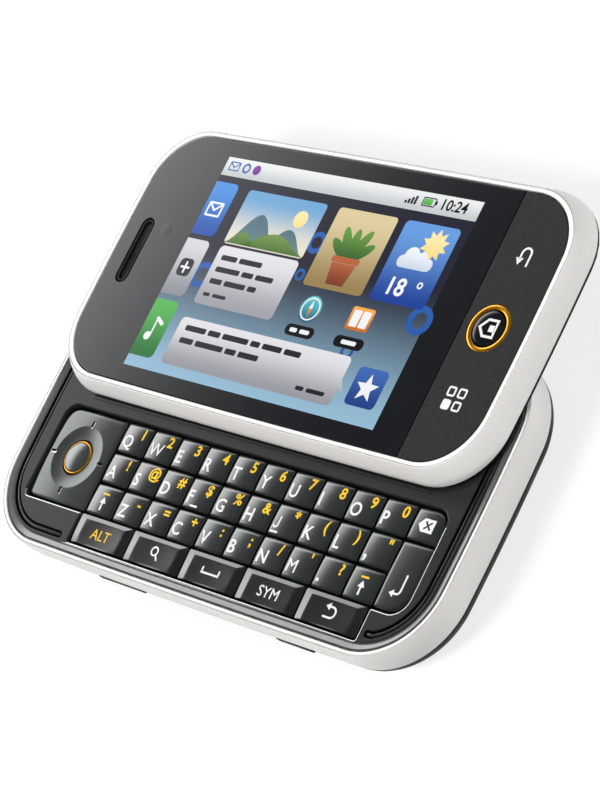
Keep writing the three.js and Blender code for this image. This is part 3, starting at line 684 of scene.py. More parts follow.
def opening(distance):
    """The key opening's outline, counter-clockwise: a block with rounded corners, and the strip
    for the wide keys on its near side. A positive distance draws it in."""
    left, near, right, far = grown(BLOCK, -distance)
    strip_left, strip_near = STRIP[0] + distance, STRIP[1] + distance
    strip_right = STRIP[2] - distance
    radii = (BLOCK_CORNER, ENTER_CORNER, PAD_CORNER, KEY_CORNER)
    block, enter, pad, small = (max(radius - distance, SUPPORT) for radius in radii)
    turn = max(KEY_CORNER + distance, SUPPORT)
    few, many = KEY_CORNER_STEPS, KEY_CORNER_STEPS * 3
    bends = (  # centre, radius, start and end in quarter turns, steps
        (strip_left + small, strip_near + small, small, 2, 3, few),
        (strip_right - small, strip_near + small, small, -1, 0, few),
        (strip_right + turn, near - turn, turn, 2, 1, few),
        (right - enter, near + enter, enter, -1, 0, many),
        (right - block, far - block, block, 0, 1, many),
        (left + block, far - block, block, 1, 2, many),
        (left + pad, near + pad, pad, 2, 3, many),
        (strip_left - turn, near - turn, turn, 1, 0, few),
    )
    return np.vstack([
        arc((x, y), radius, start * QUARTER, end * QUARTER, steps)
        for x, y, radius, start, end, steps in bends
    ])


def groove_line(side, end_x):
    """Middle line of a groove: from its end on the near side, round the near corner, to where the
    display half covers it."""
    points = outline_points(inset(DECK_LINE, GROOVE_INSET + GROOVE_WIDTH / 2))
    beyond = points[:, 0] * side > end_x * side + GROOVE_WIDTH
    run = stretch(points, beyond & (points[:, 1] < RIM_LOW[1] + GROOVE_UNDER))
    nearest = run[0] if side > 0 else run[-1]
    end = [(end_x + side * GROOVE_WIDTH / 2, nearest[1])]
    return np.vstack([end, run] if side > 0 else [run, end])


def groove(side, end_x):
    line = groove_line(side, end_x)
    loop = hole(lambda distance: ribbon(line, GROOVE_WIDTH - 2 * distance))
    return (loop, GROOVE_FILLET, DECK_TOP - GROOVE_DEPTH)


GROOVE_ENDS = ((-1, STRIP[0] - GROOVE_LEFT_END), (1, STRIP[2] + GROOVE_RIGHT_END))
GROOVES = [groove(side, end_x) for side, end_x in GROOVE_ENDS]


def deck_plate():
    outline = outline_points(inset(DECK_LINE, BORDER_WIDTH))
    loops = [(lambda distance: outline, 0.0), (hole(opening), OPENING_FILLET)]
    return plate(loops, DECK_FOOT, DECK_TOP, GROOVES)


def deck_border():
    """Border between the rim's lip and the deck, that slopes down inwards."""
    return loft([
        level(DECK_LINE, BORDER_GAP, DECK_FOOT),
        level(DECK_LINE, BORDER_GAP, DECK_TOP - EASE),
        level(DECK_LINE, BORDER_GAP + EASE, DECK_TOP),
        level(DECK_LINE, BORDER_WIDTH, DECK_TOP - BORDER_DROP),
        level(DECK_LINE, BORDER_WIDTH, DECK_FOOT),
    ], looped=True)


def groove_rib(side, end_x):
    """A low rib along the middle of a groove."""
    line = groove_line(side, end_x)
    return loft([
        at_height(ribbon(line, RIB_WIDTH - narrower), DECK_TOP - drop)
        for narrower, drop in ((0, GROOVE_DEPTH + SUPPORT), *RIB_EDGE)
    ])


def deck_ridge():
    """A low rounded ridge along the deck beside the display half."""
    line = [(x, RIDGE_Y) for x in (-RIDGE_LENGTH / 2, 0, RIDGE_LENGTH / 2)]
    rings = [at_height(ribbon(line, RIDGE_WIDTH + SUPPORT), DECK_TOP - RIDGE_HEIGHT)]
    for angle in np.linspace(0, QUARTER, RIDGE_STEPS + 1):
        outline = ribbon(line, RIDGE_WIDTH * math.cos(angle) + SUPPORT)
        rings.append(at_height(outline, DECK_TOP + RIDGE_HEIGHT * math.sin(angle)))
    return loft(rings)


def finish_deck(item):
    """Paints the grooves black as painted shade, and paints a highlight on the key opening's
    rounded edge below the pad and beside the enter key, and on the deck in front of the wide keys.
    """
    centres = face_centres(item)
    x, y = centres[:, 0], centres[:, 1]
    depth = DECK_TOP - centres[:, 2]
    sunk = [inside(centres[:, :2], [loop(fillet)]) for loop, fillet, _ in GROOVES]
    # Groove faces below the fillet turn black: painted shade.
    repaint(item, (depth > GROOVE_FILLET / 2) & np.any(sunk, axis=0), GROOVE_SHADE)
    # Only the edges where light catches turn bright: below the pad, beside the enter key and in
    # front of the wide keys. This is a painted highlight.
    rounded_off = (depth > SUPPORT / 10) & (depth < OPENING_FILLET)
    rounded_off &= inside(centres[:, :2], [hole(opening)(OPENING_FILLET)])
    below_pad = (y > BLOCK[1] - OPENING_FILLET) & (y < BLOCK[1] + PAD_CORNER)
    beside_enter = (x > STRIP[2] - OPENING_FILLET) & (y < BLOCK[3] - HIGHLIGHT_END)
    near_side = (depth < SUPPORT) & (y < STRIP[1]) & (x > STRIP[0]) & (x < STRIP[2])
    repaint(item, rounded_off & (below_pad | beside_enter) | near_side, HIGHLIGHT_EDGE)


finish_deck(add_piece("deck_plate", deck_plate(), "base", DECK, "deck_grey", "keyboard_deck"))
for name, (side, end_x) in zip(("groove_rib_left", "groove_rib_right"), GROOVE_ENDS):
    add_piece(name, groove_rib(side, end_x), "base", DECK, "deck_grey")
add_piece("deck_border", deck_border(), "base", BORDER, "deck_grey")
add_piece("deck_ridge", deck_ridge(), "base", DECK, "deck_grey")


# Key caps

KEY_EDGE = (
    (0.0, 0.42), (0.01, 0.30), (0.035, 0.22), (0.09, 0.15),
    (0.17, 0.1), (0.36, 0.03), (0.44, 0.008), (0.5, 0.0),
)
FACE_SHARES = (0.9, 0.75, 0.55, 0.35, 0.15)
CAP_SPLITS = 6
CROWN = 0.16  # how far a key's top domes up along its longer way
WIDE_RUN = 1.7
WIDE_FAR_RUN = 0.75
WIDE_NEAR_RUN = 0.12
WIDE_DROP = 0.38
WIDE_EASE = 0.55  # share by which the drop lessens towards the far side
WIDE_FILLET = 0.07
WIDE_DISH = 0.06
WIDE_BEVEL = ((0.02, 1), (0.06, 0.95), (0.93, 0.08), (0.98, 0.015))  # shares in and of the drop
KEY_CORNERS = {
    "key_backspace": (KEY_CORNER, KEY_CORNER, BLOCK_CORNER, KEY_CORNER),
    "key_enter": (KEY_CORNER, ENTER_CORNER, KEY_CORNER, KEY_CORNER),
}


def dome(cell, top, crown):
    """Height of a domed face over a cell, as a function of plan points."""
    centre = middle_of(cell)
    half = middle_of((-cell[0], -cell[1], cell[2], cell[3]))
    falls = crown * half / half.max()

    def height(points):
        return top - (((points - centre) / half) ** 2 * falls).sum(axis=1)

    return height


def face_rings(rim, centre, height, shares=FACE_SHARES):
    """Rings that close in from a rim on a face's centre."""
    outlines = [centre + (rim - centre) * share for share in shares]
    return [at_height(points, height(points)) for points in outlines]


def letter_key(name):
    """A letter key: upright sides, a rounded edge and a domed face."""
    low, high = node_box(name)
    cell = cell_of(name)
    height = dome(cell, high[2], CROWN)
    outline = functools.partial(rounded, cell, KEY_CORNERS.get(name, KEY_CORNER), splits=CAP_SPLITS)
    rings = [at_height(outline(), low[2])]
    for distance, drop in KEY_EDGE:
        points = outline(distance)
        rings.append(at_height(points, height(points) - drop))
    rings += face_rings(points, middle_of(cell), height)
    add_piece(name + "_cap", loft(rings), name, KEY, "key_black", name)
    return cell, height


def wide_key(name):
    """A wide key: broad bevels to the left, right and far side round a face that dips a little."""
    low, high = node_box(name)
    cell = left, near, right, far = cell_of(name)
    face = (left + WIDE_RUN, near + WIDE_NEAR_RUN, right - WIDE_RUN, far - WIDE_FAR_RUN)
    dish = dome(face, high[2] - WIDE_DISH, -WIDE_DISH)
    outer = rounded(cell, KEY_CORNER, splits=CAP_SPLITS)
    inner, rim = (rounded(face, KEY_CORNER / 2, distance, splits=CAP_SPLITS)
                  for distance in (0, WIDE_FILLET))

    def bevel_ring(share, drop_share, extra=0.0):
        points = outer * (1 - share) + inner * share
        far_share = (points[:, 1] - near) / (far - near)
        drop = WIDE_DROP * (1 - WIDE_EASE * far_share)
        return at_height(points, high[2] - drop * drop_share - extra)

    rings = [at_height(outer, low[2]), bevel_ring(0, 1, WIDE_FILLET)]
    rings += [bevel_ring(*shares) for shares in WIDE_BEVEL]
    rings += face_rings(rim, middle_of(face), lambda points: np.minimum(dish(points), high[2]),
                        (1, *FACE_SHARES))
    add_piece(name + "_cap", loft(rings), name, WIDE_KEY, "key_black", name)
    return cell, dish


KEYS = {name: letter_key(name) for name in LETTER_NAMES}
KEYS |= {name: wide_key(name) for name in WIDE_NAMES}


# Legends

INK = 0.05  # thickness of a legend, half of it sunk in the key
CAP_HEIGHT = 2.35
SMALL_CAP_HEIGHT = 1.95
LETTER_LEFT = 0.75  # key's edge to the letter
LETTER_NEAR = 1.05
SMALL_RIGHT = 1.6  # key's edge to the middle of the sign
SMALL_FAR = 2.6  # key's edge to the sign's foot
MARK_NEAR = 0.6
WORD_FOOT = 1.2  # key's middle to a word's foot
LETTER_WEIGHT = 0.014  # share of the letter's size added all round
SIGN_WEIGHT = 0.024
SHARP_LETTERS = "MW"  # their inner corners leave no room for more weight
LINE_WIDTH = 0.36
SIGNS = {"qwertyuiop": "1234567890", "asdfghjkl,": "!@#$%&*()\"", "zxcvbnm.": "-=+:;/'?"}
SPELT = {",": "comma", ".": "period"}
LEGENDS = {
    SPELT.get(key, key): key.upper() + sign
    for keys, signs in SIGNS.items() for key, sign in zip(keys, signs)
}
MARK_SHIFTS = {"f": 2.3, "j": 0.75}  # letter's left side to the middle of the bar under it
WORDS = {"key_alt": ("ALT", YELLOW_INK), "key_symbol": ("SYM", WHITE_INK)}
WORD_HEIGHT = 1.95
PUNCTUATION_SCALE = 1.35
LETTER_STEPS = 3
RING_STEPS = 32


def letters(text, size, weight=LETTER_WEIGHT):
    """Letters with their left foot at the origin, thick by INK about the zero level."""
    data = bpy.data.curves.new("letters", "FONT")
    data.body = text
    data.size = size
    data.extrude = INK / 2
    data.offset = weight * size
    data.resolution_u = LETTER_STEPS
    item = bpy.data.objects.new("letters", data)
    bpy.context.scene.collection.objects.link(item)
    bpy.context.view_layer.update()
    mesh = item.evaluated_get(bpy.context.evaluated_depsgraph_get()).to_mesh()
    vertices = np.array([vertex.co for vertex in mesh.vertices])
    faces = [tuple(face.vertices) for face in mesh.polygons]
    bpy.data.objects.remove(item)
    bpy.data.curves.remove(data)
    vertices[:, 0] -= vertices[:, 0].min()
    return vertices, faces


def span(mesh, axis):
    return mesh[0][:, axis].max() - mesh[0][:, axis].min()


FONT_CAP = span(letters("H", 1, 0), 1)  # cap height of letters of size 1


def inked(outline, *holes):
    """A flat drawn shape, thick by INK about the zero level."""
    return slab(np.asarray(outline, float), -INK / 2, INK / 2, *holes)


def arrowhead(tip, angle, length, width):
    """A triangle that points along an angle, counter-clockwise."""
    ahead = np.array([math.cos(angle), math.sin(angle)])
    aside = np.array([-ahead[1], ahead[0]])
    back = np.asarray(tip) - ahead * length
    return [tip, back + aside * width / 2, back - aside * width / 2]


def ring(x, y, outer, inner):
    return inked(circle(x, y, outer, RING_STEPS), circle(x, y, inner, RING_STEPS)[::-1])


def line(width, *points):
    return inked(ribbon(np.vstack(points), width))


def arrow(points, width, tip, angle, length, head_width):
    """A line along some points, with an arrowhead."""
    return joined(line(width, *points), inked(arrowhead(tip, angle, length, head_width)))


def shift_icon():
    stem = inked([(-0.2, -1.5), (0.2, -1.5), (0.2, -0.05), (-0.2, -0.05)])
    head = inked(arrowhead((0, 1.05), QUARTER, 1.15, 1.55))
    return joined(stem, head)


def backspace_icon():
    """A filled tag, with inner rings so that it follows the domed key."""
    outline = np.array([(-2.0, 0), (-0.95, -1.2), (1.5, -1.2), (1.5, 1.2), (-0.95, 1.2)])
    top = [at_height(outline * share, INK / 2) for share in (1, 0.75, 0.5, 0.25)]
    return loft([at_height(outline, -INK / 2), *top])


def backspace_cross():
    arm = 0.6
    strokes = [line(0.3, (-arm, -arm * turn), (arm, arm * turn)) for turn in (1, -1)]
    return moved(joined(strokes[0], moved(strokes[1], z=INK / 8)), x=0.2)


def enter_icon():
    bend = arc((0.25, -0.75), 0.75, 0, -QUARTER, 8)
    return arrow([(1.0, 1.9), bend, (-0.4, -1.5)], LINE_WIDTH, (-1.35, -1.5), math.pi, 1.0, 1.3)


def magnifier_icon():
    return joined(ring(-0.15, 0.3, 0.95, 0.62), line(LINE_WIDTH, (0.55, -0.42), (1.1, -1.15)))


def space_icon():
    return line(LINE_WIDTH, (-2.1, 0.45), (-2.1, -0.45), (2.1, -0.45), (2.1, 0.45))


def turn_back_icon():
    bend = arc((0.35, 0), 0.95, QUARTER, -QUARTER, 14)
    return arrow([(-0.4, 0.95), bend, (-1.1, -0.95)], LINE_WIDTH, (-1.35, 0.95), math.pi, 1.0, 1.3)


ICONS = {  # with the shift of each icon's zero point from its key's middle
    "key_shift_left": (shift_icon, (0, -0.45)), "key_shift_right": (shift_icon, (0, -0.45)),
    "key_backspace": (backspace_icon, (0, 0)), "key_enter": (enter_icon, (0, -1.5)),
    "key_search": (magnifier_icon, (0, 0)), "key_space": (space_icon, (0, 0)),
    "key_back": (turn_back_icon, (0, 0)),
}


def put_legend(name, suffix, mesh, finish, place):
    """Lays a legend on a key with its zero point at a place in plan."""
    laid = laid_on(moved(mesh, *place), KEYS[name][1])
    add_piece(name + suffix, laid, name, finish, "key_black")


def bar(half_length):
    return line(LINE_WIDTH, (-half_length, 0), (half_length, 0))


def hooked_letter():
    """A J whose hook stays clear of the bar under it."""
    hook = arc((0.62, 0.95), 0.55, 0, -0.85 * math.pi, 10)
    return line(LINE_WIDTH * 0.9, (1.17, CAP_HEIGHT), hook)


def letter_legends():
    for short, (first, second) in LEGENDS.items():
        name = "key_" + short
        left, near, right, far = KEYS[name][0]
        weight = 0 if first in SHARP_LETTERS else LETTER_WEIGHT
        size = CAP_HEIGHT / FONT_CAP * (PUNCTUATION_SCALE if first in ",." else 1)
        big = hooked_letter() if first == "J" else letters(first, size, weight)
        put_legend(name, "_letter", big, WHITE_INK, (left + LETTER_LEFT, near + LETTER_NEAR))
        small = letters(second, SMALL_CAP_HEIGHT / FONT_CAP, SIGN_WEIGHT)
        place = (right - SMALL_RIGHT - span(small, 0) / 2, far - SMALL_FAR)
        put_legend(name, "_sign", small, YELLOW_INK, place)
    for short, shift in MARK_SHIFTS.items():
        left, near, _, _ = KEYS["key_" + short][0]
        place = (left + LETTER_LEFT + shift, near + MARK_NEAR)
        put_legend("key_" + short, "_mark", bar(0.85), WHITE_INK, place)


def icon_legends():
    for name, (icon, shift) in ICONS.items():
        put_legend(name, "_icon", icon(), WHITE_INK, middle_of(KEYS[name][0]) + shift)
    for name in ("key_shift_left", "key_shift_right"):
        put_legend(name, "_bar", bar(0.75), YELLOW_INK, middle_of(KEYS[name][0]) + (0, 1.25))
    cross = moved(backspace_cross(), z=INK)
    put_legend("key_backspace", "_cross", cross, KEY, middle_of(KEYS["key_backspace"][0]))
    for name, (word, ink) in WORDS.items():
        mesh = letters(word, WORD_HEIGHT / FONT_CAP, 0)
        shift = (-span(mesh, 0) / 2, -WORD_FOOT)
        put_legend(name, "_word", mesh, ink, middle_of(KEYS[name][0]) + shift)


letter_legends()
icon_legends()


# Four-way pad and its middle button

PAD_CELL = cell_of("nav_pad")
PAD_CENTRE = middle_of(PAD_CELL)
PAD_CORNERS = (PAD_CORNER, KEY_CORNER, KEY_CORNER, BLOCK_CORNER)
PAD_CROWN = 2.2 * CROWN
PAD_HOLE = 3.65
HOLE_EDGE = 0.1
HOLE_DROP = 0.05
PAD_STEPS = 360
REACH_STEPS = 40
PLATE_SHARES = (0.75, 0.5, 0.25)  # rings from the pad's edge in to the dish
DISH_RADIUS = 6.5
DISH_EDGE = (0.3, 0.01, -0.05, -0.15)  # rings at the dish's edge, out from its radius
DISH_STEP = 0.12
DISH_DEPTH = 0.42
DISH_POWER = 1.6
DISH_STEPS = 15
TICK_RADIUS = 6.75
TICK_HALF = (0.7, 0.25)  # half the length and width
TICK_CORNER = 0.24
TICK_SHIFT = (0.2, -0.2)  # painted highlight of a tick, shifted from its painted-shade slot towards the near right
TICK_FOOT = 0.3
OK_RADIUS = 2.85
OK_EDGE = ((0, 0.35), (0.05, 0.25))  # inset and drop
OK_SHARES = np.linspace(0.96, 0.03, 14)
OK_DOME = 0.22
OK_RING_STEPS = 10
OK_SKIRT_DROP = 0.4
OK_GAP = 0.02

plate_height = dome(PAD_CELL, PAD_HIGH[2], PAD_CROWN)


def pad_height(points):
    """Height of the pad's top: a domed plate with a round dish."""
    radius = np.linalg.norm(points - PAD_CENTRE, axis=1)
    z = plate_height(points)
    share = np.clip((radius - PAD_HOLE) / (DISH_RADIUS - PAD_HOLE), 0, 1)
    floor = PAD_HIGH[2] - DISH_DEPTH + (DISH_DEPTH - DISH_STEP) * share**DISH_POWER
    return np.where(radius < DISH_RADIUS, np.minimum(floor, z), z)


def reach(outline, angles):
    """Distance from the pad's centre to an outline round it, at each angle."""
    dense = np.vstack([outline, outline[:1]]) - PAD_CENTRE
    pairs = zip(dense, dense[1:])
    spots = np.vstack([np.linspace(a, b, REACH_STEPS, endpoint=False) for a, b in pairs])
    turns = np.arctan2(spots[:, 1], spots[:, 0])
    order = np.argsort(turns)
    lengths = np.linalg.norm(spots, axis=1)[order]
    return np.interp(angles, turns[order], lengths, period=TURN)


def nav_pad():
    """The pad's plate: its edge, its domed top, the dish in it and the hole in the middle."""
    angles = np.linspace(0, TURN, PAD_STEPS, endpoint=False)
    ways = np.column_stack([np.cos(angles), np.sin(angles)])

    def place(radius):
        return PAD_CENTRE + ways * np.broadcast_to(radius, len(angles))[:, None]

    def on_top(radius, drop=0.0):
        points = place(radius)
        return at_height(points, pad_height(points) - drop)

    def outer(distance):
        return reach(rounded(PAD_CELL, PAD_CORNERS, distance), angles)

    rim = outer(KEY_EDGE[-1][0])
    last, *edge, first = (DISH_RADIUS + distance for distance in DISH_EDGE)
    flats = [last + (rim - last) * share for share in PLATE_SHARES] + [last, *edge]
    flats += [*np.linspace(first, PAD_HOLE + HOLE_EDGE, DISH_STEPS + 1), PAD_HOLE + SUPPORT]
    rings = [at_height(place(outer(0)), PAD_LOW[2])]
    rings += [on_top(outer(distance), drop) for distance, drop in KEY_EDGE]
    rings += [on_top(radius) for radius in flats]
    rings += [on_top(PAD_HOLE, HOLE_DROP), at_height(place(PAD_HOLE), PAD_LOW[2])]
    return loft(rings, looped=True)


def pad_ticks(shift, proud):
    """Four marks across the dish's edge."""
    marks = []
    for way in ((1, 0), (-1, 0), (0, 1), (0, -1)):
        centre = PAD_CENTRE + TICK_RADIUS * np.array(way) + shift
        outline = about(centre, TICK_HALF if way[0] else TICK_HALF[::-1], TICK_CORNER)
        marks.append(laid_on(slab(outline, -TICK_FOOT, proud), plate_height))
    return joined(*marks)


def ok_cap():
    """The middle button, with a rounded edge and a domed top."""
    profile = [(OK_RADIUS, OK_LOW[2])]
    profile += [(OK_RADIUS - distance, OK_HIGH[2] - drop) for distance, drop in OK_EDGE]
    profile += [(OK_RADIUS * share, OK_HIGH[2] - OK_DOME * share**2) for share in OK_SHARES]
    return lathe(*PAD_CENTRE, profile)


def ok_ring():
    outer, inner = (OK_HIGH[0] - OK_LOW[0]) / 2, OK_RADIUS + OK_GAP
    foot, top = OK_LOW[2], OK_HIGH[2] - OK_SKIRT_DROP
    return rounded_ring(PAD_CENTRE, outer, inner, foot, top, (outer - inner) / 2, OK_RING_STEPS)


add_piece("four_way_pad", nav_pad(), "nav_pad", PAD, "pad_grey", "nav_pad")
add_piece("ok_cap", ok_cap(), "ok_button", SILVER, "pad_grey", "ok_button")
add_piece("ok_ring", ok_ring(), "ok_button", GOLD, "gold")
# Black marks laid on the pad stand for the shade in its tick slots, and bright ones shifted beside
# them stand for their highlights: painted shade and painted highlight.
add_piece("pad_tick_painted_shade", pad_ticks((0, 0), 0.05), "nav_pad", GROOVE_SHADE, "pad_grey")
add_piece("pad_tick_painted_highlights", pad_ticks(TICK_SHIFT, 0.03), "nav_pad", HIGHLIGHT_EDGE, "pad_grey")


# Face of the display half

LCD_EDGES = (1.5, 1.1)  # screen module's edges to the lit picture
SCREEN = (*(LCD_LOW[:2] + LCD_EDGES), *(LCD_HIGH[:2] - LCD_EDGES))
FACE_FILLET = 0.12
STRAIGHT_X = 45  # from the middle to beyond both cuts across the face, short of its corners
CUT_CLEARANCE = 1  # outline points nearer than this to a cut are left out
SLOT_CELL = cell_of("earpiece_grille")
SLOT_RADIUS = (SLOT_CELL[2] - SLOT_CELL[0]) / 2
SLOT_STEPS = 12
RING_CENTRE = middle_of(cell_of("home_ring"))
RING_RADIUS = (RING_HIGH[0] - RING_LOW[0]) / 2
RING_WIDTH = 0.88
RING_ROUND = 0.14
HOME_RING_STEPS = 12
SEAT_GAP = 0.05
HOME_CENTRE = middle_of(cell_of("home_button"))
HOME_GAP = 0.1
HOME_RADIUS = RING_RADIUS - RING_WIDTH - HOME_GAP
HOME_DROP = 0.02  # top of the button's face under its node's
HOME_STEM = HOME_RADIUS - 2 * HOME_GAP
HOME_EDGE = ((0, 0.2), (0.04, 0.08))  # inset and drop
HOME_SHARES = (0.86, 0.7, 0.5, 0.3, 0.1)
HOME_DOME = 0.06
FLANGE_HEIGHT = 0.5


def face_part(side, limit):
    """The part of the face to one side of a limit in X, as a loop for plate()."""
    wanted = outline_points(FACE)[:, 0] * side > limit * side + CUT_CLEARANCE

    def loop(distance):
        points = outline_points(inset(FACE, distance))
        edge = limit + side * distance
        ends = []
        for way in (side, -side):
            half = points[(points[:, 1] - FACE["y"]) * way > 0]
            half = half[np.argsort(half[:, 0])]
            inner = half[np.abs(half[:, 0]) < STRAIGHT_X]
            ends.append((edge, np.interp(edge, inner[:, 0], inner[:, 1])))
        return np.vstack([stretch(points, wanted), ends])

    return loop


def slot_loop(distance):
    return rounded(SLOT_CELL, SLOT_RADIUS, distance, SLOT_STEPS)


def cover_glass():
    window = hole(lambda distance: rounded(SCREEN, SUPPORT, distance, 1))
    slot = hole(lambda distance: slot_loop(distance - FACE_GAP))
    loops = [(face_part(-1, GLASS_HIGH[0]), FACE_FILLET), (slot, FACE_FILLET), (window, 0.0)]
    return plate(loops, GLASS_LOW[2], FACE_TOP)


def chin_panel():
    seat = hole(lambda distance: circle(*RING_CENTRE, RING_RADIUS + SEAT_GAP - distance))
    loops = [(face_part(1, CHIN_LOW[0]), FACE_FILLET), (seat, SEAT_GAP)]
    return plate(loops, CHIN_LOW[2], FACE_TOP)


def home_ring():
    radii = (RING_RADIUS, RING_RADIUS - RING_WIDTH)
    return rounded_ring(RING_CENTRE, *radii, RING_LOW[2], RING_HIGH[2], RING_ROUND, HOME_RING_STEPS)


def home_button():
    """The home button: a flange under the panel, a stem and a slightly domed face."""
    top = HOME_HIGH[2] - HOME_DROP
    flange, ledge = (HOME_HIGH[0] - HOME_LOW[0]) / 2, HOME_LOW[2] + FLANGE_HEIGHT
    profile = [(flange, HOME_LOW[2]), (flange, ledge), (HOME_STEM, ledge)]
    profile += [(HOME_STEM - distance, top - drop) for distance, drop in HOME_EDGE]
    profile += [(HOME_RADIUS * share, top - HOME_DOME * share**2) for share in HOME_SHARES]
    return lathe(*HOME_CENTRE, profile)


def house_icon():
    """A plain house with its roof towards the earpiece end."""
    walls = [(-2.25, 0), (-0.7, -1.75), (1.75, -1.75), (1.75, 1.75), (-0.7, 1.75)]
    inner = [(-1.6, 0), (-0.5, -1.3), (1.3, -1.3), (1.3, 1.3), (-0.5, 1.3)]
    door = [(0.15, -0.6), (1.4, -0.6), (1.4, 0.6), (0.15, 0.6)]
    return joined(inked(walls, np.array(inner[::-1])), inked(door))


def return_icon():
    """A line that turns back, with an arrowhead."""
    bend = arc((0, 0.55), 1.0, 0, math.pi, 14)
    return arrow([(1.0, -1.6), bend, (-1.0, -0.4)], 0.42, (-1.0, -1.65), -QUARTER, 1.3, 1.7)


def menu_icon():
    """Four small squares, one of them filled."""
    half, shift, line, corner = 0.92, 1.2, 0.36, 0.45
    squares = []
    for x, y in ((-1, -1), (-1, 1), (1, -1), (1, 1)):
        cell = grown((x * shift, y * shift) * 2, half)
        holes = [rounded(cell, corner, line)[::-1]] if (x, y) != (-1, -1) else []
        squares.append(inked(rounded(cell, corner), *holes))
    return joined(*squares)


LIGHT_SENSOR = (-41.65, 34.29)  # beside the earpiece
LIGHT_SENSOR_RADIUS = 1.4
RETURN_PLACE = (44.75, 42.69)
MENU_PLACE = (44.35, 15.89)
SLOT_FILLETS = (0.1, 0.08)  # outside, inside
SLOT_RIM = 0.45
SLOT_DEPTH = 0.4
BAR_PITCH = 0.42
BAR_WIDTH = 0.16
BAR_INSET = 0.5
BAR_ENDS = (1.6, 1.5)  # slot's near and far end to the bars
BAR_CAP_STEPS = 3
BAR_HEIGHTS = (-0.42, -0.24)  # of the bars, from the earpiece's top


def earpiece():
    pocket = hole(lambda distance: slot_loop(distance + SLOT_RIM))
    foot, top = SLOT_LOW[2], SLOT_HIGH[2]
    outer, inner = SLOT_FILLETS
    return plate([(slot_loop, outer)], foot, top, [(pocket, inner, top - SLOT_DEPTH)])


def earpiece_mesh():
    """Fine bars across the earpiece's slot."""
    left, near, right, far = SLOT_CELL
    heights = [SLOT_HIGH[2] + height for height in BAR_HEIGHTS]
    bars = []
    for y in np.arange(near + BAR_ENDS[0], far - BAR_ENDS[1], BAR_PITCH):
        ends = [(left + BAR_INSET, y), (right - BAR_INSET, y)]
        bars.append(slab(ribbon(ends, BAR_WIDTH, BAR_CAP_STEPS), *heights))
    return joined(*bars)


def light_sensor():
    profile = ((1, -0.2), (1, 0.01), (0.5, 0.015))  # shares of the radius, heights
    return lathe(*LIGHT_SENSOR, [
        (LIGHT_SENSOR_RADIUS * share, FACE_TOP + height) for share, height in profile
    ])


def add_icon(name, mesh, place, height, body="display"):
    add_piece(name, moved(mesh, *place, height), body, WHITE_INK, "charcoal")


add_piece("cover_glass", cover_glass(), "display", LENS, "cover_glass", "display_glass")
add_piece("end_panel", chin_panel(), "display", CHARCOAL, "charcoal", "chin_panel")
add_piece("light_sensor", light_sensor(), "display", LENS, "cover_glass")
add_piece("home_gold_ring", home_ring(), "display", GOLD, "gold", "home_ring")
add_piece("home_cap", home_button(), "home_button", LENS_RIM, "charcoal", "home_button")
add_piece("earpiece_frame", earpiece(), "display", SHELL, "shell_black", "earpiece_grille")
add_piece("earpiece_bars", earpiece_mesh(), "display", SHELL, "shell_black")
add_icon("home_icon", house_icon(), HOME_CENTRE, HOME_HIGH[2], "home_button")
add_icon("return_icon", return_icon(), RETURN_PLACE, FACE_TOP)
add_icon("menu_icon", menu_icon(), MENU_PLACE, FACE_TOP)


# Screen picture: a plain home screen of the builder's own

LAYER = 0.012  # one picture layer over another
WIDTH = SCREEN[2] - SCREEN[0]
HEIGHT = SCREEN[3] - SCREEN[1]
STATUS_FOOT = 39.9
STATUS_LINE = 41.0
TAB_RIGHT = 6.4
BOX_STEPS = 6
DISC_STEPS = 40
WORD_GAP = 0.7  # between the bars that stand for words
GAMMA = 2.2
HAIR = 0.02  # picture's edge to the bars and tabs that reach it
UNDER_GLASS = (0.004, 0.004, 0.006, 1)
GLASS_ROUGHNESS = 0.1
WORD_WEIGHT = 0.02
WORD_CORNER = 0.3
HILL_FOOT = 0.05
HILL_POWER = 1.5
LEAF_STEPS = 24
SPOTS = ((8.2, 20, 2.6), (32.2, 30.5, 2.2), (64.0, 20.5, 2.8), (51.5, 12.3, 1.5), (32.0, 24.0, 1.2))
SPOT_HOLE = 0.55
TAB_CORNERS = (SUPPORT, 1.2, 1.2, SUPPORT)
TONES = {  # at the foot and at the top, 0 to 255, and the heights of both
    "wallpaper": ((150, 190, 215), (38, 38, 52), -4, 27),
    "glow": ((34, 78, 148), (46, 96, 176), 0, 30),
    "status": ((196, 202, 204), (238, 240, 240), STATUS_FOOT, HEIGHT),
    "dark": ((34, 36, 40), (44, 46, 52)),
    "black": ((8, 9, 12), (14, 15, 18)),
    "white": ((238, 240, 242), (250, 250, 250)),
    "blue_tab": ((24, 78, 168), (74, 146, 226), 27.5, 38.5),
    "grey_tab": ((140, 142, 150), (214, 215, 220), 15, 26.5),
    "green_tab": ((22, 110, 44), (84, 180, 84), 2.2, 13.8),
    "wide_card": ((150, 150, 158), (226, 226, 230), 2, 11.5),
    "card": ((158, 158, 166), (228, 228, 232), 14.5, 26.5),
    "blue": ((34, 66, 134), (64, 104, 178), 3.5, 10.5),
    "sky": ((232, 226, 206), (112, 166, 212), 28, 37),
    "far_hill": ((108, 142, 122), (86, 116, 128), 26, 32),
    "near_hill": ((72, 108, 52), (118, 150, 74), 26, 31),
    "sun": ((252, 214, 120), (255, 234, 170), 30, 36),
    "tan": ((150, 126, 78), (222, 204, 156), 22, 37.5),
    "clay": ((122, 58, 34), (186, 100, 62), 23, 29),
    "leaves": ((42, 88, 40), (110, 160, 70), 27, 36),
    "weather": ((28, 64, 150), (104, 156, 224), 22, 37.5),
    "cloud": ((186, 204, 226), (246, 249, 252), 27, 34),
    "teal": ((16, 84, 112), (92, 196, 206), 15, 21),
    "orange": ((196, 92, 24), (250, 172, 72), 15, 21),
    "purple": ((88, 32, 120), (128, 62, 160), 39, 43),
    "green": ((44, 140, 52), (110, 200, 96), 40, 43),
}


def shade(levels):
    """Light levels from a colour as it shows on a screen, 0 to 255."""
    return tuple((level / 255) ** GAMMA for level in levels)


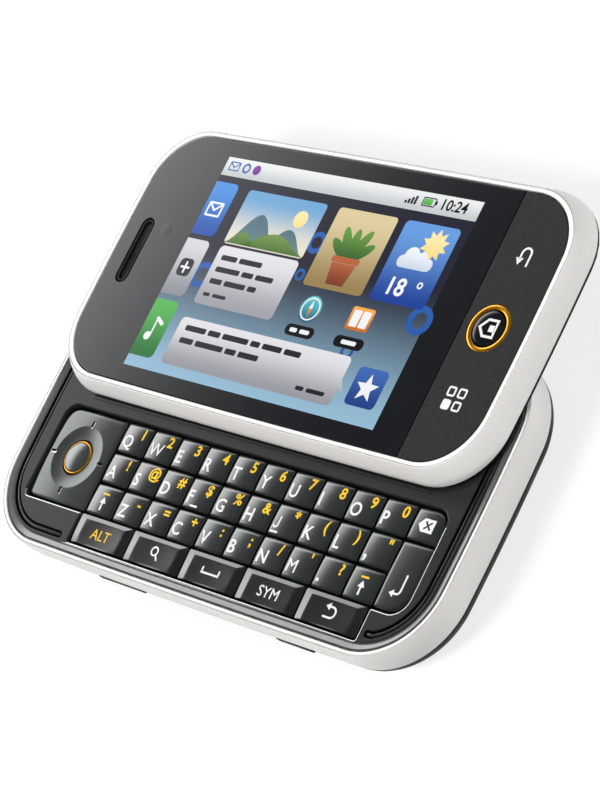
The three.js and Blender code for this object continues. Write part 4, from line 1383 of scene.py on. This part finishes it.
def screen_paint(name, low, high, foot=0.0, top=HEIGHT):
    """Lit picture colour under the lens's gloss. It runs from one tone to another between two
    heights over the screen's near edge."""
    finish, tree, shader = new_material("screen_" + name)
    place = add_node(tree, "TexCoord", "Object", {})
    y = add_node(tree, "SeparateXYZ", "Y", {"Vector": place})
    share = map_range(tree, y, (SCREEN[1] + foot) * MM, (SCREEN[1] + top) * MM, 0, 1)
    feed(tree, shader, {
        "Base Color": UNDER_GLASS,
        "Emission Color": mixed_colour(tree, share, shade(low), shade(high)),
        "Emission Strength": 1,
        "Roughness": GLASS_ROUGHNESS,
    })
    return finish


PAINTS = {name: screen_paint(name, *tones) for name, tones in TONES.items()}


def tile(name, layer, paint, *meshes):
    """A part of the screen picture, on a layer over the lens."""
    mesh = moved(joined(*meshes), SCREEN[0], SCREEN[1], FACE_TOP + layer * LAYER - INK / 2)
    add_piece("screen_" + name, mesh, "display", PAINTS[paint], "screen")


def box(left, near, right, far, radius=0.8):
    return inked(rounded((left, near, right, far), radius, steps=BOX_STEPS))


def frame_box(cell, width, radius):
    """An outlined box."""
    outer, inner = (rounded(cell, radius, distance, BOX_STEPS) for distance in (0, width))
    return inked(outer, inner[::-1])


def disc(x, y, radius):
    return inked(circle(x, y, radius, DISC_STEPS))


def text_bars(left, top, lengths, height, pitch=0):
    """Rows of bars in place of words, each row a list of bar lengths."""
    bars = []
    for row, words in enumerate(lengths):
        x, y = left, top - row * pitch
        for length in words:
            bars.append(box(x, y - height, x + length, y, WORD_CORNER))
            x += length + WORD_GAP
    return joined(*bars)


def words(text, x, y, height):
    return moved(letters(text, height / FONT_CAP, WORD_WEIGHT), x, y)


def hill(left, right, foot, top, steps=20):
    """A smooth hump between two places."""
    x = np.linspace(left, right, steps)
    rise = np.sin(np.linspace(0, math.pi, steps)) ** HILL_POWER
    y = foot + HILL_FOOT + (top - foot) * rise
    return inked(np.vstack([[(left, foot), (right, foot)], np.column_stack([x, y])[::-1]]))


def star(x, y, outer, inner, points=5):
    turns = np.arange(2 * points)
    radii = np.where(turns % 2 == 0, outer, inner)
    angles = turns * math.pi / points + QUARTER
    return inked(np.column_stack([x + radii * np.cos(angles), y + radii * np.sin(angles)]))


def leaf(x, y, length, width, angle):
    turns = np.linspace(0, TURN, LEAF_STEPS, endpoint=False)
    along, aside = length / 2 * (1 + np.cos(turns)), width / 2 * np.sin(turns)
    ahead = np.array([math.cos(angle), math.sin(angle)])
    across = np.array([-ahead[1], ahead[0]])
    return inked(np.array([x, y]) + along[:, None] * ahead + aside[:, None] * across)


def wallpaper():
    picture = slab(rounded(SCREEN, SUPPORT, SUPPORT / 10, 1), GLASS_LOW[2], FACE_TOP)
    add_piece("screen_picture", picture, "display", PAINTS["wallpaper"], "screen")
    tile("glow_spots", 1, "glow", *[ring(x, y, r, r * SPOT_HOLE) for x, y, r in SPOTS])


def status_line():
    right, top, foot = WIDTH - HAIR, HEIGHT - HAIR, STATUS_LINE
    tile("status", 2, "status",
         inked([(HAIR, STATUS_FOOT), (right, STATUS_FOOT), (right, top), (HAIR, top)]))
    tile("mail_mark", 3, "glow", frame_box((1.2, foot, 4.0, foot + 1.9), 0.25, 0.2),
         line(0.25, (1.4, foot + 1.6), (2.6, foot + 0.7), (3.8, foot + 1.6)))
    tile("sync_mark", 3, "blue", ring(5.9, foot + 0.95, 1.05, 0.6))
    tile("note_mark", 3, "purple", disc(8.7, foot + 0.95, 1.0))
    tile("signal_bars", 3, "dark", *[
        box(47.6 + 0.75 * i, foot, 48.15 + 0.75 * i, foot + 0.55 + 0.38 * i, 0.05) for i in range(4)
    ])
    tile("cell_frame", 3, "dark", frame_box((51.7, foot, 54.9, foot + 1.8), 0.22, 0.25),
         box(54.9, foot + 0.5, 55.3, foot + 1.3, 0.1))
    tile("cell_level", 3, "green", box(52.0, foot + 0.3, 54.1, foot + 1.5, 0.1))
    tile("clock", 3, "black", words("10:24", 56.6, foot - 0.05, 2.0))


def tabs():
    for name in ("blue_tab", "grey_tab", "green_tab"):
        near, far = TONES[name][2:]
        outline = rounded((HAIR, near, TAB_RIGHT, far), TAB_CORNERS, steps=BOX_STEPS)
        tile(name, 2, name, inked(outline))
    tile("tab_mail", 3, "white", frame_box((1.0, 31.4, 5.0, 34.4), 0.4, 0.3),
         line(0.38, (1.4, 34.0), (3.0, 32.7), (4.6, 34.0)))
    tile("tab_badge", 3, "dark", box(1.3, 18.9, 4.9, 22.5, 1.0))
    tile("tab_plus", 4, "white", line(0.45, (2.1, 20.7), (4.1, 20.7)),
         line(0.45, (3.1, 19.7), (3.1, 20.65)), line(0.45, (3.1, 20.75), (3.1, 21.7)))
    tile("tab_note", 3, "white", disc(2.3, 6.3, 0.85), line(0.4, (3.0, 6.4), (3.0, 10.1)),
         line(0.75, (3.0, 10.0), (4.6, 9.1)))


def wide_card():
    tile("wide_card", 2, "wide_card", box(9, 2, 53.5, 11.5, 1.0),
         inked([(53.4, 5.4), (55.2, 4.6), (53.4, 7.4)]))
    rows = [(5.5, 3.2, 6.8, 2.4, 5.0, 4.2), (3.6, 7.4, 2.8, 5.2)]
    tile("wide_text", 3, "dark", text_bars(11, 10.1, rows, 1.1, 2.5),
         text_bars(44, 4.2, [(2.0, 4.5)], 0.8))
    tile("star_back", 2, "blue", box(56.2, 3.2, 63.4, 10.4, 1.0))
    tile("star", 3, "white", star(59.8, 6.7, 2.7, 1.15))


def landscape_card():
    tile("card", 2, "card", box(9.5, 14.5, 30.5, 26.4, 1.0))
    rows = [(4.2, 6.0), (6.4, 3.0, 4.6), (3.2, 5.6, 2.2)]
    tile("card_text", 3, "dark", text_bars(11, 24.6, rows, 1.05, 2.4),
         text_bars(11, 16.9, [(1.8, 3.6)], 0.7))
    tile("sky", 2, "sky", box(9.5, 26.9, 30.5, 38.0))
    tile("sun", 3, "sun", disc(25.6, 34.2, 1.7))
    tile("far_hills", 4, "far_hill", hill(10.0, 22.0, 27.2, 33.6), hill(19.0, 30.0, 27.2, 31.8))
    tile("near_hills", 5, "near_hill", hill(13.5, 30.2, 27.1, 30.4), hill(9.7, 17.5, 27.1, 29.6))


def plant_card():
    tile("plant_card", 2, "tan", box(33.6, 22.4, 48.4, 38.0))
    for i in range(5):
        stem = leaf(41, 28.2, 6.4 + 0.8 * (i % 2), 2.1, math.radians(36 + 27 * i))
        tile(f"leaf_{i}", 3 + i % 2, "leaves", stem)
    tile("pot", 5, "clay", inked([(38.9, 23.4), (43.1, 23.4), (44.0, 27.6), (38.0, 27.6)]),
         box(37.6, 27.7, 44.4, 28.9, 0.3))


def weather_card():
    tile("weather_card", 2, "weather", box(50.4, 22.4, 63.6, 38.0, 1.0))
    tile("weather_sun", 3, "sun", star(59.3, 34.2, 3.2, 2.0, 10))
    tile("cloud", 4, "cloud", box(52.6, 29.2, 60.9, 31.6, 1.15))
    tile("cloud_top", 5, "cloud", disc(55.4, 31.6, 1.7))
    tile("cloud_side", 6, "cloud", disc(57.9, 31.3, 1.35))
    tile("degrees", 3, "white", words("18", 53.6, 24.0, 3.2), ring(60.4, 26.6, 0.65, 0.35))


def app_marks():
    tile("compass", 2, "teal", disc(38.5, 18.2, 2.6))
    tile("compass_rim", 3, "white", ring(38.5, 18.2, 2.25, 1.95))
    tile("needle", 4, "orange", inked([(38.1, 18.2), (38.5, 16.5), (38.9, 18.2)]))
    tile("needle_end", 4, "white", inked([(38.1, 18.3), (38.9, 18.3), (38.5, 20.0)]))
    tile("book", 2, "orange", box(48.2, 16.2, 53.6, 20.6, 0.5))
    tile("book_pages", 3, "white", *[box(x, 16.8, x + 1.9, 20.0, 0.2) for x in (48.8, 51.1)])
    for name, x, lengths in (("compass", 38.5, (1.8, 2.4)), ("book", 50.9, (3.6,))):
        tile(name + "_label", 2, "black", box(x - 3.6, 12.7, x + 3.6, 14.9, 1.05))
        width = sum(lengths) + WORD_GAP * (len(lengths) - 1)
        tile(name + "_text", 3, "white", text_bars(x - width / 2, 14.2, [lengths], 0.8))


wallpaper()
status_line()
tabs()
wide_card()
landscape_card()
plant_card()
weather_card()
app_marks()


# Back of the phone

SHELL_DRAW_IN = 5.8
SHELL_RISES = (0, 0.004, 0.015, 0.035, 0.07, 0.12, 0.18, 0.26, 0.36, 0.48, 0.62, 0.78, 0.92, 1)
SHELL_CURVE = (1.9, 0.6)  # powers that shape the sides
SHELL_FLOOR = 1.6
SHELL_INNER_DROP = 0.7
SHELL_INNER_RUN = 2.5
SEAM = 0.25
DOOR_CORNER = 6
DOOR_LEDGE = 3.5
DOOR_STEPS = 12
DOOR_FILLET = 0.25
SPEAKER = (-44.0, -8.0)
SPEAKER_PITCH = 2.6
SPEAKER_LENGTH = 9
SPEAKER_WIDTH = 1
SPEAKER_CORNER = 0.49
CLOTH_HALF = (5, 6)
CLOTH_CORNER = 1
CLOTH_LEVELS = (0.02, 0.2)  # from the shell's floor
TOUCH_GAP = 0.3
OVER = 1  # how far a cutter runs past what it cuts
WINDOW_DEPTHS = (22, 35)  # from the middle, across the shell's side
CAMERA_STEPS = 16
BEZEL_DEPTH = 1.2
BEZEL_GAP = 0.01
BEZEL_FILLET = 0.2
LENS_POCKET = (3.0, 0.15, -0.5)  # radius, fillet, floor
LAMP_POCKET = (1.3, 0.1, -0.3)
LENS_PROFILE = ((2.9, -0.5), (2.9, -0.3), (2.7, -0.22), (1.6, -0.22), (1.5, -0.26), (1.35, -0.26))
LENS_RADIUS = 1.3
LENS_SHARES = np.linspace(1, 0.05, 10)
LENS_DOME = 0.22
LAMP_PROFILE = ((1.25, -0.3), (1.25, -0.12), (1.15, -0.08), (0.6, -0.08), (0.1, -0.08))
SIDE_KEY_CORNER = 0.45
SIDE_KEY_EDGE = ((0.0, 0.3), (0.04, 0.16), (0.12, 0.06), (0.24, 0.01), (0.3, 0.0))
ROCKER_DIP = 0.35
WAIST_END = 2.4  # key's end to where its waist begins
WAIST_RUN = 1.2
TONGUE_HALF = 2.4
TONGUE_ENDS = (0.5, 0.7)  # socket's mouth and back to the tongue
TONGUE_LEVELS = (-0.1, 0.4)
TONGUE_CORNER = 0.3


def shell_body():
    """The bottom shell, with sides that curve in under it and a hollow inside."""
    height = steps_between(SHELL_LOW[2], SHELL_HIGH[2])
    first, second = SHELL_CURVE
    rings = []
    for rise in SHELL_RISES:
        share = 1 - (1 - (1 - rise) ** first) ** second
        rings.append(level(BASE, BAND_FOOT + SHELL_DRAW_IN * share, height(rise)))
    rings += [
        level(BASE, BAND_WALL, SHELL_HIGH[2]),
        level(BASE, BAND_WALL, SHELL_HIGH[2] - SHELL_INNER_DROP),
        level(BASE, BAND_WALL + SHELL_INNER_RUN, SHELL_FLOOR),
    ]
    return loft(rings)


def side_window(name):
    """The opening in the shell's side for a side key or the socket."""
    low, high = node_box(name)
    depths = sorted(math.copysign(depth, low[1]) for depth in WINDOW_DEPTHS)
    cell = (low[0] - TOUCH_GAP, depths[0], high[0] + TOUCH_GAP, depths[1])
    return slab(rounded(cell, SUPPORT, steps=1), low[2] - TOUCH_GAP, SHELL_HIGH[2] + OVER)


def speaker_slot(number):
    centre = (SPEAKER[0] + number * SPEAKER_PITCH, SPEAKER[1])
    half = (SPEAKER_WIDTH / 2, SPEAKER_LENGTH / 2)
    return slab(about(centre, half, SPEAKER_CORNER), -OVER, SHELL_FLOOR + OVER)


def back_shell():
    door, camera = cell_of("battery_door"), cell_of("camera_module")
    item = add_piece("back_shell", shell_body(), "base", SHELL, "shell_black", "back_housing")
    recess = rounded(grown(door, SEAM), DOOR_CORNER + SEAM, steps=DOOR_STEPS)
    well = rounded(grown(door, -DOOR_LEDGE), DOOR_CORNER, steps=DOOR_STEPS)
    eye = rounded(grown(camera, SEAM), (camera[2] - camera[0]) / 2, steps=CAMERA_STEPS)
    cut(item, [
        slab(recess, -OVER, DOOR_HIGH[2]),
        slab(well, -2 * OVER, SHELL_FLOOR + 2 * OVER),
        slab(eye, -OVER, SHELL_FLOOR + OVER),
        *[side_window(name) for name in ("volume_rocker", "camera_key", "lock_key", "usb_socket")],
        *[speaker_slot(number) for number in (-1, 0, 1)],
    ])


def battery_door():
    cell = cell_of("battery_door")
    loop = (lambda distance: rounded(cell, DOOR_CORNER, distance, DOOR_STEPS), DOOR_FILLET)
    middle = (DOOR_LOW[2] + DOOR_HIGH[2]) / 2
    return flipped(plate([loop], DOOR_LOW[2], DOOR_HIGH[2]), middle)


def speaker_cloth():
    outline = about(SPEAKER, CLOTH_HALF, CLOTH_CORNER)
    return slab(outline, *(SHELL_FLOOR + rise for rise in CLOTH_LEVELS))


def camera_parts():
    """The camera's bezel with its lens and lamp window, seen from below."""
    cell = cell_of("camera_module")
    radius = (cell[2] - cell[0]) / 2 - BEZEL_GAP
    x = (cell[0] + cell[2]) / 2
    lens, lamp = (x, cell[3] - radius), (x, cell[1] + radius)

    def pocket(place, size, fillet, floor):
        return hole(lambda distance: circle(*place, size - distance)), fillet, floor

    outline = (lambda distance: rounded(cell, radius, distance, CAMERA_STEPS), BEZEL_FILLET)
    pockets = [pocket(lens, *LENS_POCKET), pocket(lamp, *LAMP_POCKET)]
    face = LENS_PROFILE[-1][1]
    dome = [(LENS_RADIUS * share, face + LENS_DOME * (1 - share**2)) for share in LENS_SHARES]
    parts = (
        ("camera_bezel", plate([outline], -BEZEL_DEPTH, 0, pockets), LENS_RIM, "camera_module"),
        ("camera_lens", lathe(*lens, [*LENS_PROFILE, *dome]), LENS),
        ("camera_lamp", lathe(*lamp, LAMP_PROFILE), WHITE_INK),
    )
    for name, mesh, finish, *nodes in parts:
        turned = moved(flipped(mesh, 0), z=CAMERA_LOW[2])
        add_piece(name, turned, "base", finish, "lens_black", *nodes)


def side_key(name, dip=0.0):
    """A side key with rounded edges. A dip gives it a waist between its raised ends."""
    low, high = node_box(name)
    near = low[1] < 0
    face, back = (-low[1], -high[1]) if near else (high[1], low[1])
    middle, half = (low[0] + high[0]) / 2, (high[0] - low[0]) / 2
    cell = (low[0], low[2], high[0], high[2])

    def height(points):
        from_end = half - np.abs(points[:, 0] - middle)
        share = np.clip((from_end - WAIST_END) / WAIST_RUN, 0, 1)
        return face - dip * share**2 * (3 - 2 * share)

    rings = [at_height(rounded(cell, SIDE_KEY_CORNER), back)]
    for distance, drop in SIDE_KEY_EDGE:
        points = rounded(cell, SIDE_KEY_CORNER, distance)
        rings.append(at_height(points, height(points) - drop))
    vertices, faces = loft(rings)
    x, z, out = vertices.T
    turned = np.column_stack([x, -out, z] if near else [2 * middle - x, out, z])
    add_piece(name + "_cap", (turned, faces), name, SHELL, "shell_black", name)


def socket_tongue():
    x, _, z = (SOCKET_LOW + SOCKET_HIGH) / 2
    near, far = SOCKET_LOW[1] + TONGUE_ENDS[0], SOCKET_HIGH[1] - TONGUE_ENDS[1]
    outline = rounded((x - TONGUE_HALF, near, x + TONGUE_HALF, far), TONGUE_CORNER)
    return slab(outline, *(z + rise for rise in TONGUE_LEVELS))


back_shell()
add_piece("door_cover", battery_door(), "base", SHELL, "shell_black", "battery_door")
add_piece("speaker_cloth", speaker_cloth(), "base", RUBBER, "mat_rubber")
camera_parts()
side_key("volume_rocker", ROCKER_DIP)
side_key("camera_key")
side_key("lock_key")
add_piece("socket_tongue", socket_tongue(), "base", RUBBER, "mat_rubber")


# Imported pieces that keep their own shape

KEPT = {
    "keypad_mat": RUBBER, "slide_rail_plate": STEEL, "main_board": BOARD, "battery": CELL,
    "usb_socket": STEEL, "lcd_module": CELL, "display_back_plate": SHELL,
}
for node, finish in KEPT.items():
    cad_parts[node].data.materials.clear()
    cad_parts[node].data.materials.append(finish)


# Floor, light and camera

CAMERA_PLACE = (366.56, -87.56, 346.86)
CAMERA_AXES = (
    (0.67413266, 0.43874253, -0.59418023),
    (-0.17768832, 0.87716616, 0.44610133),
    (0.71691841, -0.19515259, 0.66928578),
)
CAMERA_LENS = 130.65
SENSOR_WIDTH = 36
CLIP_START = 0.01
FLOOR_SIZE = 6000
FLOOR_DEPTH = 20
FLOOR_CORNER = 1
FLOOR_GREY = 0.3
FLOOR_ROUGHNESS = 0.9


def add_camera():
    data = bpy.data.cameras.new("camera")
    data.lens = CAMERA_LENS
    data.sensor_width = SENSOR_WIDTH
    data.clip_start = CLIP_START
    item = bpy.data.objects.new("camera", data)
    bpy.context.scene.collection.objects.link(item)
    turn = Matrix(CAMERA_AXES).transposed().to_4x4()
    item.matrix_world = Matrix.Translation(Vector(CAMERA_PLACE) * MM) @ turn
    bpy.context.scene.camera = item


def maths(tree, operation, *values):
    return add_node(tree, "Math", "Value", dict(enumerate(values)), operation=operation)


def sine(degrees):
    return math.sin(math.radians(degrees))


WALL_AZIMUTH = 168  # bright wall of the studio, angles in degrees
WALL_EDGES = (0.78, 0.97)  # cosines of the turn from its middle, from dark to full
WALL_LIGHT = 2.9
WALL_FOOT = (8, 18)  # elevations
WALL_TOP = (33, 42.3)
SKY_EDGES = (0.25, 0.7)  # sines of the elevation between horizon and zenith light
HORIZON_LIGHT = 0.45
ZENITH_LIGHT = 0.08
GAP_AZIMUTH = -90  # dim side of the studio
GAP_EDGES = (0.2, 0.65)
GAP_LIGHT = 0.25
LAMPS = ((-120, 46, 3.1, 25), (20, 20, 2.1, 50))  # azimuth, elevation, light and spread
FLOOR_SEEN = 0.74  # light added to the floor where the camera or a reflection sees it


def direction(azimuth, elevation=0):
    """The unit vector towards an azimuth and an elevation in degrees."""
    turn, rise = math.radians(azimuth), math.radians(elevation)
    flat = math.cos(rise)
    return Vector((math.cos(turn) * flat, math.sin(turn) * flat, math.sin(rise)))


def add_world():
    """A studio: pale all round the horizon, dark overhead, and a bright wall on one side."""
    world = bpy.data.worlds.new("studio")
    bpy.context.scene.world = world
    world.use_nodes = True
    tree = world.node_tree
    way = add_node(tree, "TexCoord", "Generated", {})
    up = add_node(tree, "SeparateXYZ", "Z", {"Vector": way})
    level_way = add_node(tree, "VectorMath", "Vector", {0: way, 1: (1, 1, 0)}, operation="MULTIPLY")
    heading = add_node(tree, "VectorMath", "Vector", {0: level_way}, operation="NORMALIZE")

    def towards(azimuth):
        values = {0: heading, 1: direction(azimuth)}
        return add_node(tree, "VectorMath", "Value", values, operation="DOT_PRODUCT")

    top = map_range(tree, up, *map(sine, WALL_TOP), WALL_LIGHT, 0)
    foot = map_range(tree, up, *map(sine, WALL_FOOT), 0, 1)
    width = map_range(tree, towards(WALL_AZIMUTH), *WALL_EDGES, 0, 1)
    wall = maths(tree, "MULTIPLY", maths(tree, "MULTIPLY", top, width), foot)
    sky = map_range(tree, up, *SKY_EDGES, HORIZON_LIGHT, ZENITH_LIGHT)
    gap = map_range(tree, towards(GAP_AZIMUTH), *GAP_EDGES, 1, GAP_LIGHT)
    light = maths(tree, "MAXIMUM", wall, maths(tree, "MULTIPLY", sky, gap))
    feed(tree, tree.nodes["Background"], {"Strength": light, "Color": (1, 1, 1, 1)})


def add_lamps():
    """Two soft suns. They are hidden from gloss, where the flat lens would mirror them whole."""
    for number, (azimuth, elevation, light, spread) in enumerate(LAMPS):
        data = bpy.data.lights.new(f"lamp_{number}", "SUN")
        data.energy = light
        data.angle = math.radians(spread)
        item = bpy.data.objects.new(f"lamp_{number}", data)
        item.visible_glossy = False
        item.rotation_euler = direction(azimuth, elevation).to_track_quat("Z", "Y").to_euler()
        bpy.context.scene.collection.objects.link(item)


def add_floor():
    """A floor that looks white to the camera and in reflections, and is grey to other light."""
    half = FLOOR_SIZE / 2
    outline = rounded((-half, -half, half, half), FLOOR_CORNER, steps=1)
    item = add_object("floor", slab(outline, -FLOOR_DEPTH, 0))
    finish, tree, shader = new_material("floor")
    path = tree.nodes.new("ShaderNodeLightPath").outputs
    seen = maths(tree, "ADD", path["Is Camera Ray"], path["Is Glossy Ray"])
    seen = maths(tree, "ADD", seen, path["Is Transmission Ray"])
    feed(tree, shader, {
        "Base Color": (FLOOR_GREY, FLOOR_GREY, FLOOR_GREY, 1),
        "Roughness": FLOOR_ROUGHNESS,
        "Emission Color": (1, 1, 1, 1),
        "Emission Strength": maths(tree, "MULTIPLY", seen, FLOOR_SEEN),
    })
    item.data.materials.append(finish)


add_camera()
add_world()
add_lamps()
add_floor()
bpy.context.scene.view_settings.view_transform = "Standard"
